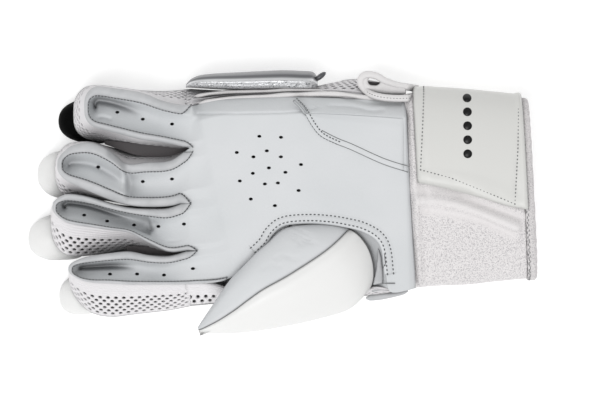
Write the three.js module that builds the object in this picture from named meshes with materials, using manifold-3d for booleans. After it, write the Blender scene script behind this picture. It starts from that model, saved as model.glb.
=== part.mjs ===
// A cricket batting glove for the left hand, lying on its back with the palm up.
// Millimetres, +Z up. The fingers point to -X, the wrist to +X and the thumb lies on the -Y side.
import * as THREE from 'three';
import { mergeVertices } from 'three/addons/utils/BufferGeometryUtils.js';
import Module from 'manifold-3d';

// Hand sizes
const PALM_LENGTH = 115;
const PALM_WIDTH = 104;
const HAND_DEPTH = 24.5;
const FINGER_DEPTH = 20;
const ROLL_DEPTH = 21;
const TURN_DOWN = 9;
const TURN_WIDTH = 8.5;

// Material thicknesses
const LEATHER = 1.4;
const PATCH = 1.2;
const KNIT = 1.8;
const BACKING = 2;
const TOWEL = 3.4;
const STRAP = 2.4;
const THUMB_PADDING = 7;
const GAP = 0.3;
const SEAT = 0.4;

// Rims, bindings and holes
const RIM_SHARE = 0.64;
const RIM_RISE = 1.9;
const RIM_SHOULDER = 0.6;
const EDGE_DROP = 0.9;
const SAG_SHARE = 0.9;
const BINDING_WIDTH = 4.2;
const BINDING_RISE = 1.1;
const BINDING_SHOULDER = 0.6;
const VENT = 1.8;
const BULGE = 0.45;
const WALL_SLOPE = 1.2;
const WALL_TAPER = 3;
const WALL_STEPS = 9;
const WALL_INSET = 0.01;

// Thumb sizes
const THUMB_DEPTH = 22;
const THUMB_WALL_LIMIT = 0.3;
const BOW_POWER = 0.6;
const BOW_UNDER = 0.6;

// Wrist sizes
const CUFF_LENGTH = 58;
const CUFF_DEPTH = 38;
const CUFF_CLEARANCE = 8;
const EDGE_BAND = 5.4;
const EDGE_BAND_RISE = 0.5;
const EDGE_SHOULDER = 0.2;
const EDGE_TURN = 0.3;
const STRAP_FROM = 0.03;
const STRAP_TO = 0.985;
const STRAP_END = -0.28;
const STRAP_SLANT = 0.8;
const STRAP_UNDER = -5;
const STRAP_CLEARANCE = 0.7;

// Side bar and loop sizes
const BAR_LENGTH = 69;
const BAR_DEPTH = 29;
const BAR_WIDTH = 10;
const BAR_START = -2.5;
const BAR_BOTTOM = 9;
const BAR_CLEARANCE = 0.75;
const LOOP_LENGTH = 24;
const LOOP_WIDTH = 11.5;
const LOOP_THICK = 3;
const LOOP_BACK = 26.5;
const LOOP_OUT = 3;
const LOOP_BOTTOM = 34;

// Heights that the sizes give
const BACK_TOP = ROLL_DEPTH + GAP + BACKING;
const HOLLOW_FLOOR = BACK_TOP + GAP;

// Number of steps round the forms
const SIDE_STEPS = 6;
const TIP_ANGLES = [22.5, 45, 67.5, 90];
const TIP_BLUNT = 0.62;
const TIP_ROUND = 0.3;
const TIP_INNER = 0.25;
const ACROSS = [1, RIM_SHARE, 0.3, 0, -0.3, -RIM_SHARE, -1];
const PALM_ROWS = 16;

const COLOURS = {
  leather: 0xdcdfe2,
  rim: 0xd2d5d8,
  knit: 0xebe8eb,
  pad: 0xf3f3f3,
  black: 0x0a0a0a,
  silver: 0x9a9c9f,
  towel: 0xe8e6e6,
  strap: 0xe0e0dc,
};

function table(columns, rows) {
  return rows.map((row) => Object.fromEntries(columns.map((name, i) => [name, row[i]])));
}

// Fingers. Lengths run from the crotch line to the front tip. The sides are shares of the finger's
// width, measured from its middle, and rise and sag are shares of the finger's depth.
const FINGER_COLUMNS = ['at', 'ulnar', 'radial', 'backUlnar', 'backRadial', 'rise', 'sag'];
const FINGERS = [
  {
    name: 'little', length: 54.6, width: 24, middle: 0.36, backReach: 1.13, padReach: 1.276,
    padUlnar: 0.61, padRadial: -0.26, tipColour: 'black',
    rows: table(FINGER_COLUMNS, [
      [0.00, 0.455, -0.433, 0.867, -0.455, 1.03, 0.10],
      [0.24, 0.563, -0.314, 0.823, -0.433, 1.02, 0.24],
      [0.47, 0.758, -0.238, 0.845, -0.400, 1.03, 0.36],
      [0.71, 0.845, -0.098, 0.930, -0.325, 1.06, 0.42],
      [0.88, 0.890, 0.000, 0.940, -0.240, 1.05, 0.42],
      [1.00, 0.845, 0.060, 0.850, -0.190, 1.00, 0.36],
    ]),
  },
  {
    name: 'ring', length: 68.6, width: 26, middle: 0.13, backReach: 1.04, padReach: 1.174,
    padUlnar: 0.48, padRadial: -0.48, tipColour: 'pad',
    rows: table(FINGER_COLUMNS, [
      [0.00, 0.520, -0.520, 0.500, -0.560, 1.03, 0.10],
      [0.14, 0.270, -0.630, 0.420, -0.575, 1.02, 0.22],
      [0.34, 0.220, -0.650, 0.420, -0.590, 1.00, 0.34],
      [0.48, 0.200, -0.610, 0.470, -0.560, 1.02, 0.38],
      [0.60, 0.440, -0.510, 0.550, -0.540, 1.10, 0.44],
      [0.74, 0.610, -0.360, 0.640, -0.520, 1.16, 0.46],
      [0.88, 0.560, -0.200, 0.640, -0.490, 1.12, 0.44],
      [1.00, 0.400, -0.060, 0.520, -0.400, 1.02, 0.36],
    ]),
  },
  {
    name: 'middle', length: 71.2, width: 27, middle: -0.13, backReach: 1.03, padReach: 1.201,
    padUlnar: 0.19, padRadial: -0.71, tipColour: 'pad',
    rows: table(FINGER_COLUMNS, [
      [0.00, 0.500, -0.460, 0.440, -0.500, 1.03, 0.10],
      [0.15, 0.345, -0.490, 0.390, -0.490, 1.00, 0.26],
      [0.29, 0.330, -0.330, 0.370, -0.470, 0.97, 0.42],
      [0.44, 0.350, -0.125, 0.380, -0.460, 1.00, 0.46],
      [0.58, 0.440, -0.070, 0.390, -0.520, 1.03, 0.50],
      [0.73, 0.555, -0.010, 0.410, -0.580, 1.06, 0.50],
      [0.88, 0.610, 0.060, 0.460, -0.580, 1.04, 0.44],
      [1.00, 0.540, 0.200, 0.500, -0.440, 0.97, 0.34],
    ]),
  },
  {
    name: 'index', length: 62.9, width: 27, middle: -0.40, backReach: 1.0, padReach: 1.10,
    padUlnar: 0.04, padRadial: -0.73, tipColour: 'pad',
    rows: table(FINGER_COLUMNS, [
      [0.00, 0.577, -0.077, 0.500, -0.520, 1.03, 0.10],
      [0.17, 0.460, -0.077, 0.460, -0.600, 1.00, 0.24],
      [0.33, 0.470, -0.077, 0.440, -0.644, 1.00, 0.36],
      [0.50, 0.540, -0.077, 0.400, -0.690, 1.03, 0.42],
      [0.66, 0.510, -0.050, 0.330, -0.730, 1.06, 0.48],
      [0.83, 0.450, -0.030, 0.230, -0.650, 1.06, 0.46],
      [1.00, 0.350, 0.080, 0.160, -0.340, 0.98, 0.34],
    ]),
  },
];

// Rolls of padding along each finger, from the tip back, as shares of the finger's length
const ROLLS = table(['part', 'from', 'to'], [
  ['middle', 0.76, 0.42],
  ['base', 0.39, 0.03],
]);
const TIP_ROLL_START = 0.79;

// Edges of the palm leather and of the back panel. Both columns are shares of the palm's sizes.
const EDGE_COLUMNS = ['at', 'side'];
const PALM_ULNAR = table(EDGE_COLUMNS, [
  [0.00, 0.465], [0.08, 0.495], [0.20, 0.515], [0.40, 0.518], [0.65, 0.512], [0.85, 0.500], [0.977, 0.490],
]);
const PALM_RADIAL = table(EDGE_COLUMNS, [
  [0.000, -0.420], [0.170, -0.395], [0.240, -0.330], [0.300, -0.265], [0.345, -0.215], [0.372, -0.165],
  [0.425, -0.122], [0.525, -0.110], [0.625, -0.115], [0.710, -0.130], [0.780, -0.150], [0.842, -0.190],
  [0.872, -0.250], [0.885, -0.370], [0.896, -0.445], [0.930, -0.462], [1.020, -0.440],
]);
const ARCH_FROM = 3;
const ARCH_TO = 13;
const BACK_ULNAR = table(EDGE_COLUMNS, [
  [0.00, 0.560], [0.20, 0.550], [0.40, 0.550], [0.585, 0.552], [0.68, 0.600], [0.77, 0.610], [0.88, 0.590],
  [0.98, 0.560],
]);
const BACK_RADIAL = table(EDGE_COLUMNS, [
  [0.00, -0.535], [0.20, -0.515], [0.45, -0.500], [0.70, -0.490], [0.88, -0.475], [0.98, -0.450],
]);
const BACK_ROWS = 7;

// Height of the palm and of the radial wall's upper edge, as shares of the hand's depth
const PALM_HEIGHT = table(['at', 'rise'], [
  [0.00, 0.845], [0.12, 0.900], [0.35, 0.985], [0.70, 1.000], [1.05, 0.925],
]);
const RADIAL_WALL = table(['at', 'side', 'rise'], [
  [0.01, -0.430, 0.740], [0.10, -0.440, 0.660], [0.22, -0.465, 0.460], [0.40, -0.475, 0.360],
  [0.60, -0.475, 0.360],
  [0.76, -0.465, 0.440], [0.83, -0.445, 0.800], [0.90, -0.452, 0.860], [0.97, -0.440, 0.850],
]);

// Thumb. Left is the soft edge and right the padded edge, as shares of the palm's sizes, and seam is
// the seam's share of the way across. Floor, left, crest and right are shares of the thumb's depth,
// bow is the bend of the section towards the wrist and pad the share of the padding's thickness.
const THUMB_FLOOR = 38;
const THUMB = table(
  ['leftAt', 'leftSide', 'rightAt', 'rightSide', 'seam', 'bow', 'floor', 'left', 'crest', 'right', 'pad'],
  [
    [0.507, -0.140, 0.810, -0.450, 0.38, 0.36, 0.02, 0.20, 0.40, 0.20, 0.35],
    [0.420, -0.145, 0.720, -0.545, 0.42, 0.22, 0.00, 0.44, 0.85, 0.30, 0.80],
    [0.350, -0.215, 0.560, -0.600, 0.42, 0.11, 0.00, 0.68, 1.06, 0.35, 1.00],
    [0.298, -0.265, 0.410, -0.635, 0.45, 0.00, 0.00, 0.70, 1.12, 0.35, 1.00],
    [0.240, -0.330, 0.295, -0.655, 0.50, 0.00, 0.00, 0.68, 1.06, 0.34, 1.00],
    [0.180, -0.400, 0.203, -0.665, 0.58, 0.00, 0.00, 0.62, 0.96, 0.32, 0.90],
    [0.108, -0.515, 0.118, -0.666, 0.62, 0.00, 0.04, 0.50, 0.76, 0.30, 0.60],
    [0.050, -0.610, 0.058, -0.664, 0.60, 0.00, 0.14, 0.38, 0.50, 0.28, 0.40],
    [0.036, -0.635, 0.042, -0.656, 0.55, 0.00, 0.24, 0.33, 0.38, 0.30, 0.40],
  ],
);
const THUMB_WEDGE = table(EDGE_COLUMNS, [
  [0.850, -0.235], [0.866, -0.280], [0.874, -0.360], [0.872, -0.415], [0.826, -0.425], [0.842, -0.340],
]);
const WEDGE_HEIGHT = 5;

// Cuff edges as shares of the palm's width, from the palm to the mouth
const CUFF = table(['at', 'ulnar', 'radial', 'depth'], [
  [0.00, 0.535, -0.440, 0.90],
  [0.15, 0.545, -0.435, 1.00],
  [0.55, 0.530, -0.420, 1.00],
  [1.00, 0.505, -0.395, 0.96],
]);
const CUFF_AROUND = 24;
const CUFF_ROUND = 0.7;

// Wrist loop outline and slit, as shares of its length and width
const LOOP_OUTLINE = table(['along', 'side'], [
  [0.12, 0.10], [0.30, 0], [1, 0], [1, 0.45], [0.77, 0.60], [0.45, 0.78], [0.30, 1], [0.13, 1],
  [0, 0.85], [0, 0.28],
]);
const LOOP_SLIT = table(['along', 'side'], [
  [0.16, 0.62], [0.22, 0.82], [0.32, 0.78], [0.45, 0.52], [0.36, 0.40], [0.20, 0.43],
]);

// Vent holes of each finger as shares of its length and width, and of the palm as shares of its sizes
const FINGER_VENTS = table(['finger', 'at', 'side'], [
  [0, 0.695, 0.35], [0, 0.452, 0.21], [0, 0.171, 0.10],
  [1, 0.697, 0.14], [1, 0.360, -0.15], [1, 0.136, -0.10],
  [2, 0.774, 0.21], [2, 0.606, 0.12], [2, 0.412, 0.05], [2, 0.234, -0.02], [2, 0.050, 0.04],
  [3, 0.661, 0.15], [3, 0.438, 0.12], [3, 0.215, 0.10],
]);
const PALM_VENTS = table(EDGE_COLUMNS, [
  [0.014, -0.343], [0.314, 0.317], [0.412, 0.312], [0.213, 0.237], [0.348, 0.245], [0.288, 0.215],
  [0.412, 0.215], [0.502, 0.176], [0.357, 0.160], [0.432, 0.138], [0.285, 0.133], [0.226, 0.095],
  [0.339, 0.080], [0.398, 0.085], [0.491, 0.047], [0.276, 0.005], [0.385, -0.028],
]);

// Lower edge of the heel patch, as shares of the palm's sizes
const PATCH_SEAM = table(EDGE_COLUMNS, [
  [0.518, 0.405], [0.552, 0.370], [0.593, 0.318], [0.660, 0.280], [0.729, 0.250], [0.800, 0.215],
  [0.869, 0.180], [0.962, 0.145],
]);

// Padding: a rounded section with a flat underside, side and height as shares
const ROLL_SECTION = table(['side', 'height'], [
  [-0.36, 0], [0.36, 0], [0.49, 0.14], [0.5, 0.62], [0.40, 0.9], [0, 1], [-0.40, 0.9],
  [-0.5, 0.62], [-0.49, 0.14],
]);
const ROLL_ENDS = table(['at', 'width', 'height'], [
  [0, 0.74, 0.66], [0.1, 0.94, 0.9], [0.24, 1, 1], [0.76, 1, 1], [0.9, 0.94, 0.9], [1, 0.74, 0.66],
]);
const TIP_ENDS = table(['at', 'width', 'height'], [
  [0, 0.28, 0.36], [0.06, 0.56, 0.58], [0.17, 0.8, 0.8], [0.34, 0.96, 0.95], [0.5, 1, 1], [0.84, 1, 1],
  [0.94, 0.94, 0.9], [1, 0.74, 0.66],
]);

// Padding on the back of the hand: one knuckle roll a finger, then long rolls side by side
const HAND_ROLLS = table(['part', 'from', 'to'], [
  ['knuckle_roll', 0.005, 0.27],
  ['back_pad', 0.295, 0.975],
]);

// Thumb sections: a ring from the left edge over the seam to the right edge and back underneath.
// Level 0 is the floor, 1 the left edge, 2 the crest at the seam and 3 the right edge.
const THUMB_SECTION = table(['across', 'from', 'to', 'mix'], [
  [0.00, 'left', 'crest', 0.00],
  [0.07, 'left', 'crest', 0.50],
  [0.22, 'left', 'crest', 0.86],
  ['seam', 'left', 'crest', 1.00],
  [0.72, 'right', 'crest', 0.88],
  [0.93, 'right', 'crest', 0.48],
  [1.00, 'right', 'crest', 0.00],
  [0.93, 'floor', 'right', 0.35],
  [0.68, 'floor', 'right', 0.04],
  [0.34, 'floor', 'left', 0.20],
  [0.11, 'floor', 'left', 0.86],
]);
const SEAM_INDEX = 3;
const PAD_END = 8;
const PAD_PROFILE = [0.35, 1, 1, 1, 0.8, 0.35];

// Side bar: sections along it, out and in as shares of its width and low and high of its depth
const BAR = table(['at', 'out', 'low', 'high'], [
  [0.00, 0.25, 0.45, 0.72], [0.04, 0.55, 0.25, 0.88], [0.12, 0.82, 0.10, 0.96], [0.35, 0.97, 0.00, 1.00],
  [0.70, 1.00, 0.00, 1.00], [0.90, 0.96, 0.06, 0.98], [0.97, 0.85, 0.15, 0.90], [1.00, 0.55, 0.32, 0.72],
]);
const BAR_SECTION = table(['out', 'height'], [
  [0, 0.12], [0, 0.86], [0.3, 1], [0.72, 0.94], [0.97, 0.7], [1, 0.4], [0.8, 0.1], [0.35, 0],
]);

// Reading the tables
function column(rows, key, at) {
  const last = rows.length - 1;
  let i = 0;
  while (i < last - 1 && at > rows[i + 1].at) i += 1;
  const slope = (j) => {
    const a = rows[Math.max(j - 1, 0)];
    const b = rows[Math.min(j + 1, last)];
    return (b[key] - a[key]) / (b.at - a.at);
  };
  const span = rows[i + 1].at - rows[i].at;
  const t = THREE.MathUtils.clamp((at - rows[i].at) / span, 0, 1);
  const h = t * t * (3 - 2 * t);
  const enter = slope(i) * span * t * (1 - t) * (1 - t);
  const leave = slope(i + 1) * span * t * t * (1 - t);
  return rows[i][key] * (1 - h) + rows[i + 1][key] * h + enter - leave;
}

function edgePoint(rows, share) {
  const plan = rows.map((r) => new THREE.Vector2(r.at * PALM_LENGTH, r.side * PALM_WIDTH));
  return new THREE.SplineCurve(plan).getPoint(share);
}

function palmTop(x) {
  return HOLLOW_FLOOR + HAND_DEPTH * column(PALM_HEIGHT, 'rise', x / PALM_LENGTH);
}

// Building closed solids
function solidGeometry(points, triangles) {
  const geometry = new THREE.BufferGeometry();
  const places = points.flatMap((p) => [p.x, p.y, p.z]);
  geometry.setAttribute('position', new THREE.Float32BufferAttribute(places, 3));
  geometry.setIndex(triangles.flat());
  let volume = 0;
  for (const [a, b, c] of triangles) volume += points[a].dot(points[b].clone().cross(points[c]));
  if (volume < 0) geometry.setIndex(triangles.flatMap(([a, b, c]) => [a, c, b]));
  return geometry;
}

function splitFaces(faces) {
  const triangles = [];
  for (const face of faces) {
    const ring = face.filter((v, i) => v !== face[(i + 1) % face.length]);
    for (let i = 1; i + 1 < ring.length; i += 1) triangles.push([ring[0], ring[i], ring[i + 1]]);
  }
  return triangles;
}

// A sheet of one thickness below the given points
function sheetSolid(points, faces, thickness) {
  const count = points.length;
  const top = splitFaces(faces);
  const edges = new Map();
  for (const [a, b, c] of top) {
    for (const [p, q] of [[a, b], [b, c], [c, a]]) edges.set(`${p} ${q}`, [p, q]);
  }
  const triangles = top.concat(top.map(([a, b, c]) => [a + count, c + count, b + count]));
  for (const [p, q] of edges.values()) {
    if (!edges.has(`${q} ${p}`)) triangles.push([p, p + count, q], [q, p + count, q + count]);
  }
  const below = points.map((p) => new THREE.Vector3(p.x, p.y, p.z - thickness));
  return solidGeometry(points.concat(below), triangles);
}

// A body through rings of equal length, round to its first ring or closed at both ends by
// faces between the ring's two sides
function loftSolid(rings, round = false) {
  const n = rings[0].length;
  const faces = [];
  const last = round ? rings.length : rings.length - 1;
  for (let r = 0; r < last; r += 1) {
    const next = (r + 1) % rings.length;
    for (let i = 0; i < n; i += 1) {
      const j = (i + 1) % n;
      faces.push([r * n + i, r * n + j, next * n + j, next * n + i]);
    }
  }
  if (!round) {
    const end = (rings.length - 1) * n;
    for (let i = 0, j = n - 1; i + 1 < j; i += 1, j -= 1) {
      faces.push([j, j - 1, i + 1, i], [end + i, end + i + 1, end + j - 1, end + j]);
    }
  }
  return solidGeometry(rings.flat(), splitFaces(faces));
}

const vector = (x, y, z) => new THREE.Vector3(x, y, z);
const glove = new THREE.Group();

function addPiece(name, geometry, colour, roughness = 0.6, metalness = 0) {
  geometry.computeVertexNormals();
  const material = new THREE.MeshStandardMaterial({ color: COLOURS[colour], roughness, metalness });
  const mesh = new THREE.Mesh(geometry, material);
  mesh.name = name;
  glove.add(mesh);
}

// Finger surfaces
function fingerMiddle(finger) {
  return finger.middle * PALM_WIDTH;
}

function tipStart(finger) {
  return 1 - TIP_ROUND * finger.width / finger.length;
}

function fingerStations(finger) {
  const start = tipStart(finger);
  const sides = Array.from({ length: SIDE_STEPS + 1 }, (_, i) => ({ at: start * i / SIDE_STEPS, angle: 0 }));
  return sides.concat(TIP_ANGLES.map((angle) => ({ at: start, angle: THREE.MathUtils.degToRad(angle) })));
}

function sideAt(finger, station, v, [ulnar, radial], reach) {
  const share = TIP_INNER + (1 - TIP_INNER) * Math.abs(v);
  const at = station.at + (1 - tipStart(finger)) * share * Math.sin(station.angle);
  const a = column(finger.rows, ulnar, at);
  const b = column(finger.rows, radial, at);
  const half = (a - b) / 2 * Math.pow(Math.max(Math.cos(station.angle), 0), TIP_BLUNT);
  const y = fingerMiddle(finger) + finger.width * ((a + b) / 2 + v * half);
  return vector(-at * finger.length * reach, y, at);
}

function frontPoint(finger, station, v) {
  const point = sideAt(finger, station, v, ['ulnar', 'radial'], 1);
  const at = point.z;
  const k = Math.abs(v);
  const sag = column(finger.rows, 'sag', at) * FINGER_DEPTH;
  const hollow = k >= RIM_SHARE ? 0 : sag * (1 - Math.pow(k / RIM_SHARE, 2) * SAG_SHARE);
  const drop = k > RIM_SHARE ? EDGE_DROP : 0;
  point.z = HOLLOW_FLOOR + FINGER_DEPTH * column(finger.rows, 'rise', at) - hollow - drop;
  return point;
}

function backPoint(finger, station, v) {
  const point = sideAt(finger, station, v, ['backUlnar', 'backRadial'], 1);
  point.x *= 1 + (finger.backReach - 1) * Math.min(1, -point.x / finger.length);
  point.z = BACK_TOP;
  return point;
}

// A hand-shaped sheet: four finger strips that grow out of a palm and share the crotch points
function handSheet(across, place, palmRows) {
  const points = [];
  const faces = [];
  const put = (p) => points.push(p) - 1;
  const root = [];
  const strips = FINGERS.map((finger, f) => {
    const stations = fingerStations(finger);
    return stations.map((station, s) => across.map((v, j) => {
      if (s === 0 && f > 0 && j === 0) return root[root.length - 1];
      const index = s === stations.length - 1 && v < 0 ? -1 : put(place(finger, station, v));
      if (s === 0) root.push(index);
      return index;
    }));
  });
  for (const strip of strips) {
    const tip = strip[strip.length - 1];
    tip.forEach((index, j) => {
      if (index < 0) tip[j] = tip[across.length - 1 - j];
    });
    for (let s = 0; s + 1 < strip.length; s += 1) {
      for (let j = 0; j + 1 < across.length; j += 1) {
        faces.push([strip[s][j], strip[s + 1][j], strip[s + 1][j + 1], strip[s][j + 1]]);
      }
    }
  }
  let above = root;
  for (let r = 1; r <= palmRows.count; r += 1) {
    const row = root.map((_, c) => put(palmRows.place(r / palmRows.count, c, root.length - 1)));
    for (let c = 0; c + 1 < row.length; c += 1) faces.push([above[c], above[c + 1], row[c + 1], row[c]]);
    above = row;
  }
  return { points, faces };
}

function palmPoint(share, c, last) {
  const ulnar = edgePoint(PALM_ULNAR, share);
  const radial = edgePoint(PALM_RADIAL, share);
  if (c === 0) return vector(ulnar.x, ulnar.y, palmTop(ulnar.x) - TURN_DOWN);
  const crease = new THREE.Vector2(ulnar.x, ulnar.y - TURN_WIDTH);
  const p = crease.lerp(radial, (c - 1) / (last - 1));
  return vector(p.x, p.y, palmTop(p.x));
}

// Boring the vent holes
const wasm = await Module();
wasm.setup();

function toManifold(geometry) {
  const bare = geometry.clone();
  bare.deleteAttribute('normal');
  bare.deleteAttribute('uv');
  const merged = mergeVertices(bare);
  return new wasm.Manifold(new wasm.Mesh({
    numProp: 3,
    vertProperties: new Float32Array(merged.attributes.position.array),
    triVerts: new Uint32Array(merged.index.array),
  }));
}

function fromManifold(solid) {
  const mesh = solid.getMesh();
  const geometry = new THREE.BufferGeometry();
  geometry.setAttribute('position', new THREE.BufferAttribute(new Float32Array(mesh.vertProperties), 3));
  geometry.setIndex([...mesh.triVerts]);
  return geometry;
}

function ventCutter(x, y) {
  const cutter = new THREE.CylinderGeometry(VENT / 2, VENT / 2, FINGER_DEPTH + HAND_DEPTH, 6);
  cutter.rotateX(Math.PI / 2);
  cutter.translate(x, y, HOLLOW_FLOOR + FINGER_DEPTH);
  return toManifold(cutter);
}

function makePalmLeather() {
  const { points, faces } = handSheet(ACROSS, frontPoint, { count: PALM_ROWS, place: palmPoint });
  let solid = toManifold(sheetSolid(points, faces, LEATHER));
  for (const vent of FINGER_VENTS) {
    const finger = FINGERS[vent.finger];
    const y = fingerMiddle(finger) + vent.side * finger.width;
    solid = solid.subtract(ventCutter(-vent.at * finger.length, y));
  }
  for (const vent of PALM_VENTS) {
    solid = solid.subtract(ventCutter(vent.at * PALM_LENGTH, vent.side * PALM_WIDTH));
  }
  addPiece('palm_leather', fromManifold(solid), 'leather', 0.55);
}

// The path round a finger: up its ulnar side, round the tip and back down its radial side
function aroundFinger(finger, make) {
  const stations = fingerStations(finger);
  const there = stations.map((station) => make(station, 1));
  const back = stations.slice(0, -1).reverse().map((station) => make(station, -1));
  return there.concat(back);
}

// Moves plan points to the left of their path, which is the finger's inside
function insetPath(path, distance) {
  return path.map((p, i) => {
    const a = path[Math.max(i - 1, 0)];
    const b = path[Math.min(i + 1, path.length - 1)];
    const length = Math.hypot(b.x - a.x, b.y - a.y);
    return vector(p.x - (b.y - a.y) / length * distance, p.y + (b.x - a.x) / length * distance, p.z);
  });
}

const raised = (p, height) => vector(p.x, p.y, p.z + height);

function makeRim(finger) {
  const outer = insetPath(aroundFinger(finger, (s, side) => frontPoint(finger, s, side)), GAP);
  const inner = aroundFinger(finger, (s, side) => frontPoint(finger, s, side * RIM_SHARE));
  const rings = outer.map((o, i) => {
    const n = inner[i];
    const crest = raised(o.clone().lerp(n, 0.5), SEAT + RIM_RISE);
    const shoulder = SEAT + RIM_RISE * RIM_SHOULDER;
    return [raised(o, SEAT), raised(n, SEAT), raised(n, shoulder), crest, raised(o, shoulder)];
  });
  addPiece(`finger_rim_${finger.name}`, loftSolid(rings), 'rim', 0.55);
}

// A wall between an upper and a lower path, bulging outwards at half height
function wallSolid(upper, lower) {
  const last = upper.length - 1;
  const flat = upper.map((p, i) => p.clone().lerp(lower[i], 0.5));
  const full = insetPath(flat, -BULGE);
  const middle = flat.map((p, i) => p.lerp(full[i], Math.min(1, i / WALL_TAPER, (last - i) / WALL_TAPER)));
  const innerUpper = insetPath(upper, KNIT).map((p) => raised(p, -WALL_SLOPE));
  const innerMiddle = insetPath(middle, KNIT);
  const innerLower = insetPath(lower, KNIT);
  return loftSolid(upper.map((p, i) => [p, middle[i], lower[i], innerLower[i], innerMiddle[i], innerUpper[i]]));
}

function makeFingerWall(finger) {
  const upper = insetPath(aroundFinger(finger, (s, side) => frontPoint(finger, s, side)), SEAT);
  const lower = insetPath(aroundFinger(finger, (s, side) => backPoint(finger, s, side)), SEAT);
  const under = upper.map((p) => raised(p, -LEATHER - GAP));
  addPiece(`finger_wall_${finger.name}`, wallSolid(under, lower.map((p) => raised(p, GAP))), 'knit', 0.85);
}

function makeUlnarWall() {
  const upper = [];
  const lower = [];
  for (let i = 0; i <= WALL_STEPS; i += 1) {
    const share = WALL_INSET + (1 - 2 * WALL_INSET) * i / WALL_STEPS;
    const u = edgePoint(PALM_ULNAR, share);
    const l = edgePoint(BACK_ULNAR, share);
    upper.push(vector(u.x, u.y, palmTop(u.x) - TURN_DOWN - LEATHER - GAP));
    lower.push(vector(l.x, l.y, HOLLOW_FLOOR));
  }
  upper.reverse();
  lower.reverse();
  addPiece('ulnar_wall', wallSolid(insetPath(upper, SEAT), insetPath(lower, SEAT)), 'knit', 0.85);
}

function makeRadialWall() {
  const upper = RADIAL_WALL.map((r) => vector(
    r.at * PALM_LENGTH,
    r.side * PALM_WIDTH,
    HOLLOW_FLOOR + r.rise * HAND_DEPTH,
  ));
  const lower = RADIAL_WALL.map((r) => vector(
    r.at * PALM_LENGTH,
    column(BACK_RADIAL, 'side', r.at) * PALM_WIDTH,
    HOLLOW_FLOOR,
  ));
  addPiece('radial_wall', wallSolid(upper, insetPath(lower, SEAT)), 'knit', 0.85);
}

function makeBackPanel() {
  const place = (share, c, last) => {
    const ulnar = edgePoint(BACK_ULNAR, share);
    const p = ulnar.lerp(edgePoint(BACK_RADIAL, share), c / last);
    return vector(p.x, p.y, BACK_TOP);
  };
  const { points, faces } = handSheet([1, 0, -1], backPoint, { count: BACK_ROWS, place });
  addPiece('back_panel', sheetSolid(points, faces, BACKING), 'leather', 0.7);
}

// Padding
function rollSolid(ends, from, to, edges) {
  return loftSolid(ends.map((end) => {
    const x = from + (to - from) * end.at;
    const [ulnar, radial] = edges(x);
    const middle = (ulnar + radial) / 2;
    return ROLL_SECTION.map((p) => vector(
      x,
      middle + p.side * (ulnar - radial) * end.width,
      ROLL_DEPTH * (0.5 + (p.height - 0.5) * end.height),
    ));
  }));
}

function fingerPadEdges(finger, clearance) {
  return (x) => {
    const root = finger.rows[0];
    const share = -x / (finger.length * finger.padReach);
    const ulnar = THREE.MathUtils.lerp(root.backUlnar, finger.padUlnar, share);
    const radial = THREE.MathUtils.lerp(root.backRadial, finger.padRadial, share);
    const middle = fingerMiddle(finger);
    return [middle + ulnar * finger.width - clearance, middle + radial * finger.width + clearance];
  };
}

function makeFingerRolls(finger) {
  const edges = fingerPadEdges(finger, 2 * GAP);
  const tip = rollSolid(TIP_ENDS, -finger.length * finger.padReach, -finger.length * TIP_ROLL_START, edges);
  addPiece(`finger_roll_${finger.name}_tip`, tip, finger.tipColour, 0.4);
  for (const roll of ROLLS) {
    const body = rollSolid(ROLL_ENDS, -finger.length * roll.from, -finger.length * roll.to, edges);
    addPiece(`finger_roll_${finger.name}_${roll.part}`, body, 'pad', 0.4);
  }
}

function makeHandRolls() {
  FINGERS.forEach((finger, f) => {
    for (const roll of HAND_ROLLS) {
      const edges = (x) => {
        const at = x / PALM_LENGTH;
        const ulnar = column(BACK_ULNAR, 'side', at) * PALM_WIDTH;
        const radial = column(BACK_RADIAL, 'side', at) * PALM_WIDTH;
        const part = (share) => ulnar + (radial - ulnar) * share;
        return [part(f / FINGERS.length) - GAP, part((f + 1) / FINGERS.length) + GAP];
      };
      const body = rollSolid(ROLL_ENDS, roll.from * PALM_LENGTH, roll.to * PALM_LENGTH, edges);
      addPiece(`${roll.part}_${finger.name}`, body, 'pad', 0.4);
    }
  });
}

function makePatch() {
  const rows = PATCH_SEAM.slice(1).map((p) => ({ x: p.at * PALM_LENGTH, y: p.side * PALM_WIDTH }));
  const points = [];
  const faces = [];
  rows.forEach(({ x, y }, r) => {
    const crease = column(PALM_ULNAR, 'side', x / PALM_LENGTH) * PALM_WIDTH - TURN_WIDTH - 2 * GAP;
    for (const share of [0, 0.5, 1]) {
      points.push(vector(x, THREE.MathUtils.lerp(y, crease, share), palmTop(x) + SEAT + PATCH));
    }
    if (r > 0) {
      for (const c of [0, 1]) faces.push([3 * r - 3 + c, 3 * r + c, 3 * r + c + 1, 3 * r - 2 + c]);
    }
  });
  addPiece('palm_heel_patch', sheetSolid(points, faces, PATCH), 'leather', 0.55);
}

function makeArchBinding() {
  const path = [];
  const last = PALM_RADIAL.length - 1;
  for (let i = ARCH_FROM; i <= ARCH_TO; i += 0.5) {
    const p = edgePoint(PALM_RADIAL, i / last);
    path.push(vector(p.x, p.y, palmTop(p.x) + SEAT));
  }
  const inner = insetPath(path, GAP);
  const outer = insetPath(path, BINDING_WIDTH);
  const rings = inner.map((p, i) => {
    const q = outer[i];
    q.z = palmTop(q.x) + SEAT;
    const shoulder = BINDING_RISE * BINDING_SHOULDER;
    return [p, q, raised(q, shoulder), raised(p.clone().lerp(q, 0.5), BINDING_RISE), raised(p, shoulder)];
  });
  addPiece('thumb_arch_binding', loftSolid(rings), 'rim', 0.55);
}

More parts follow.
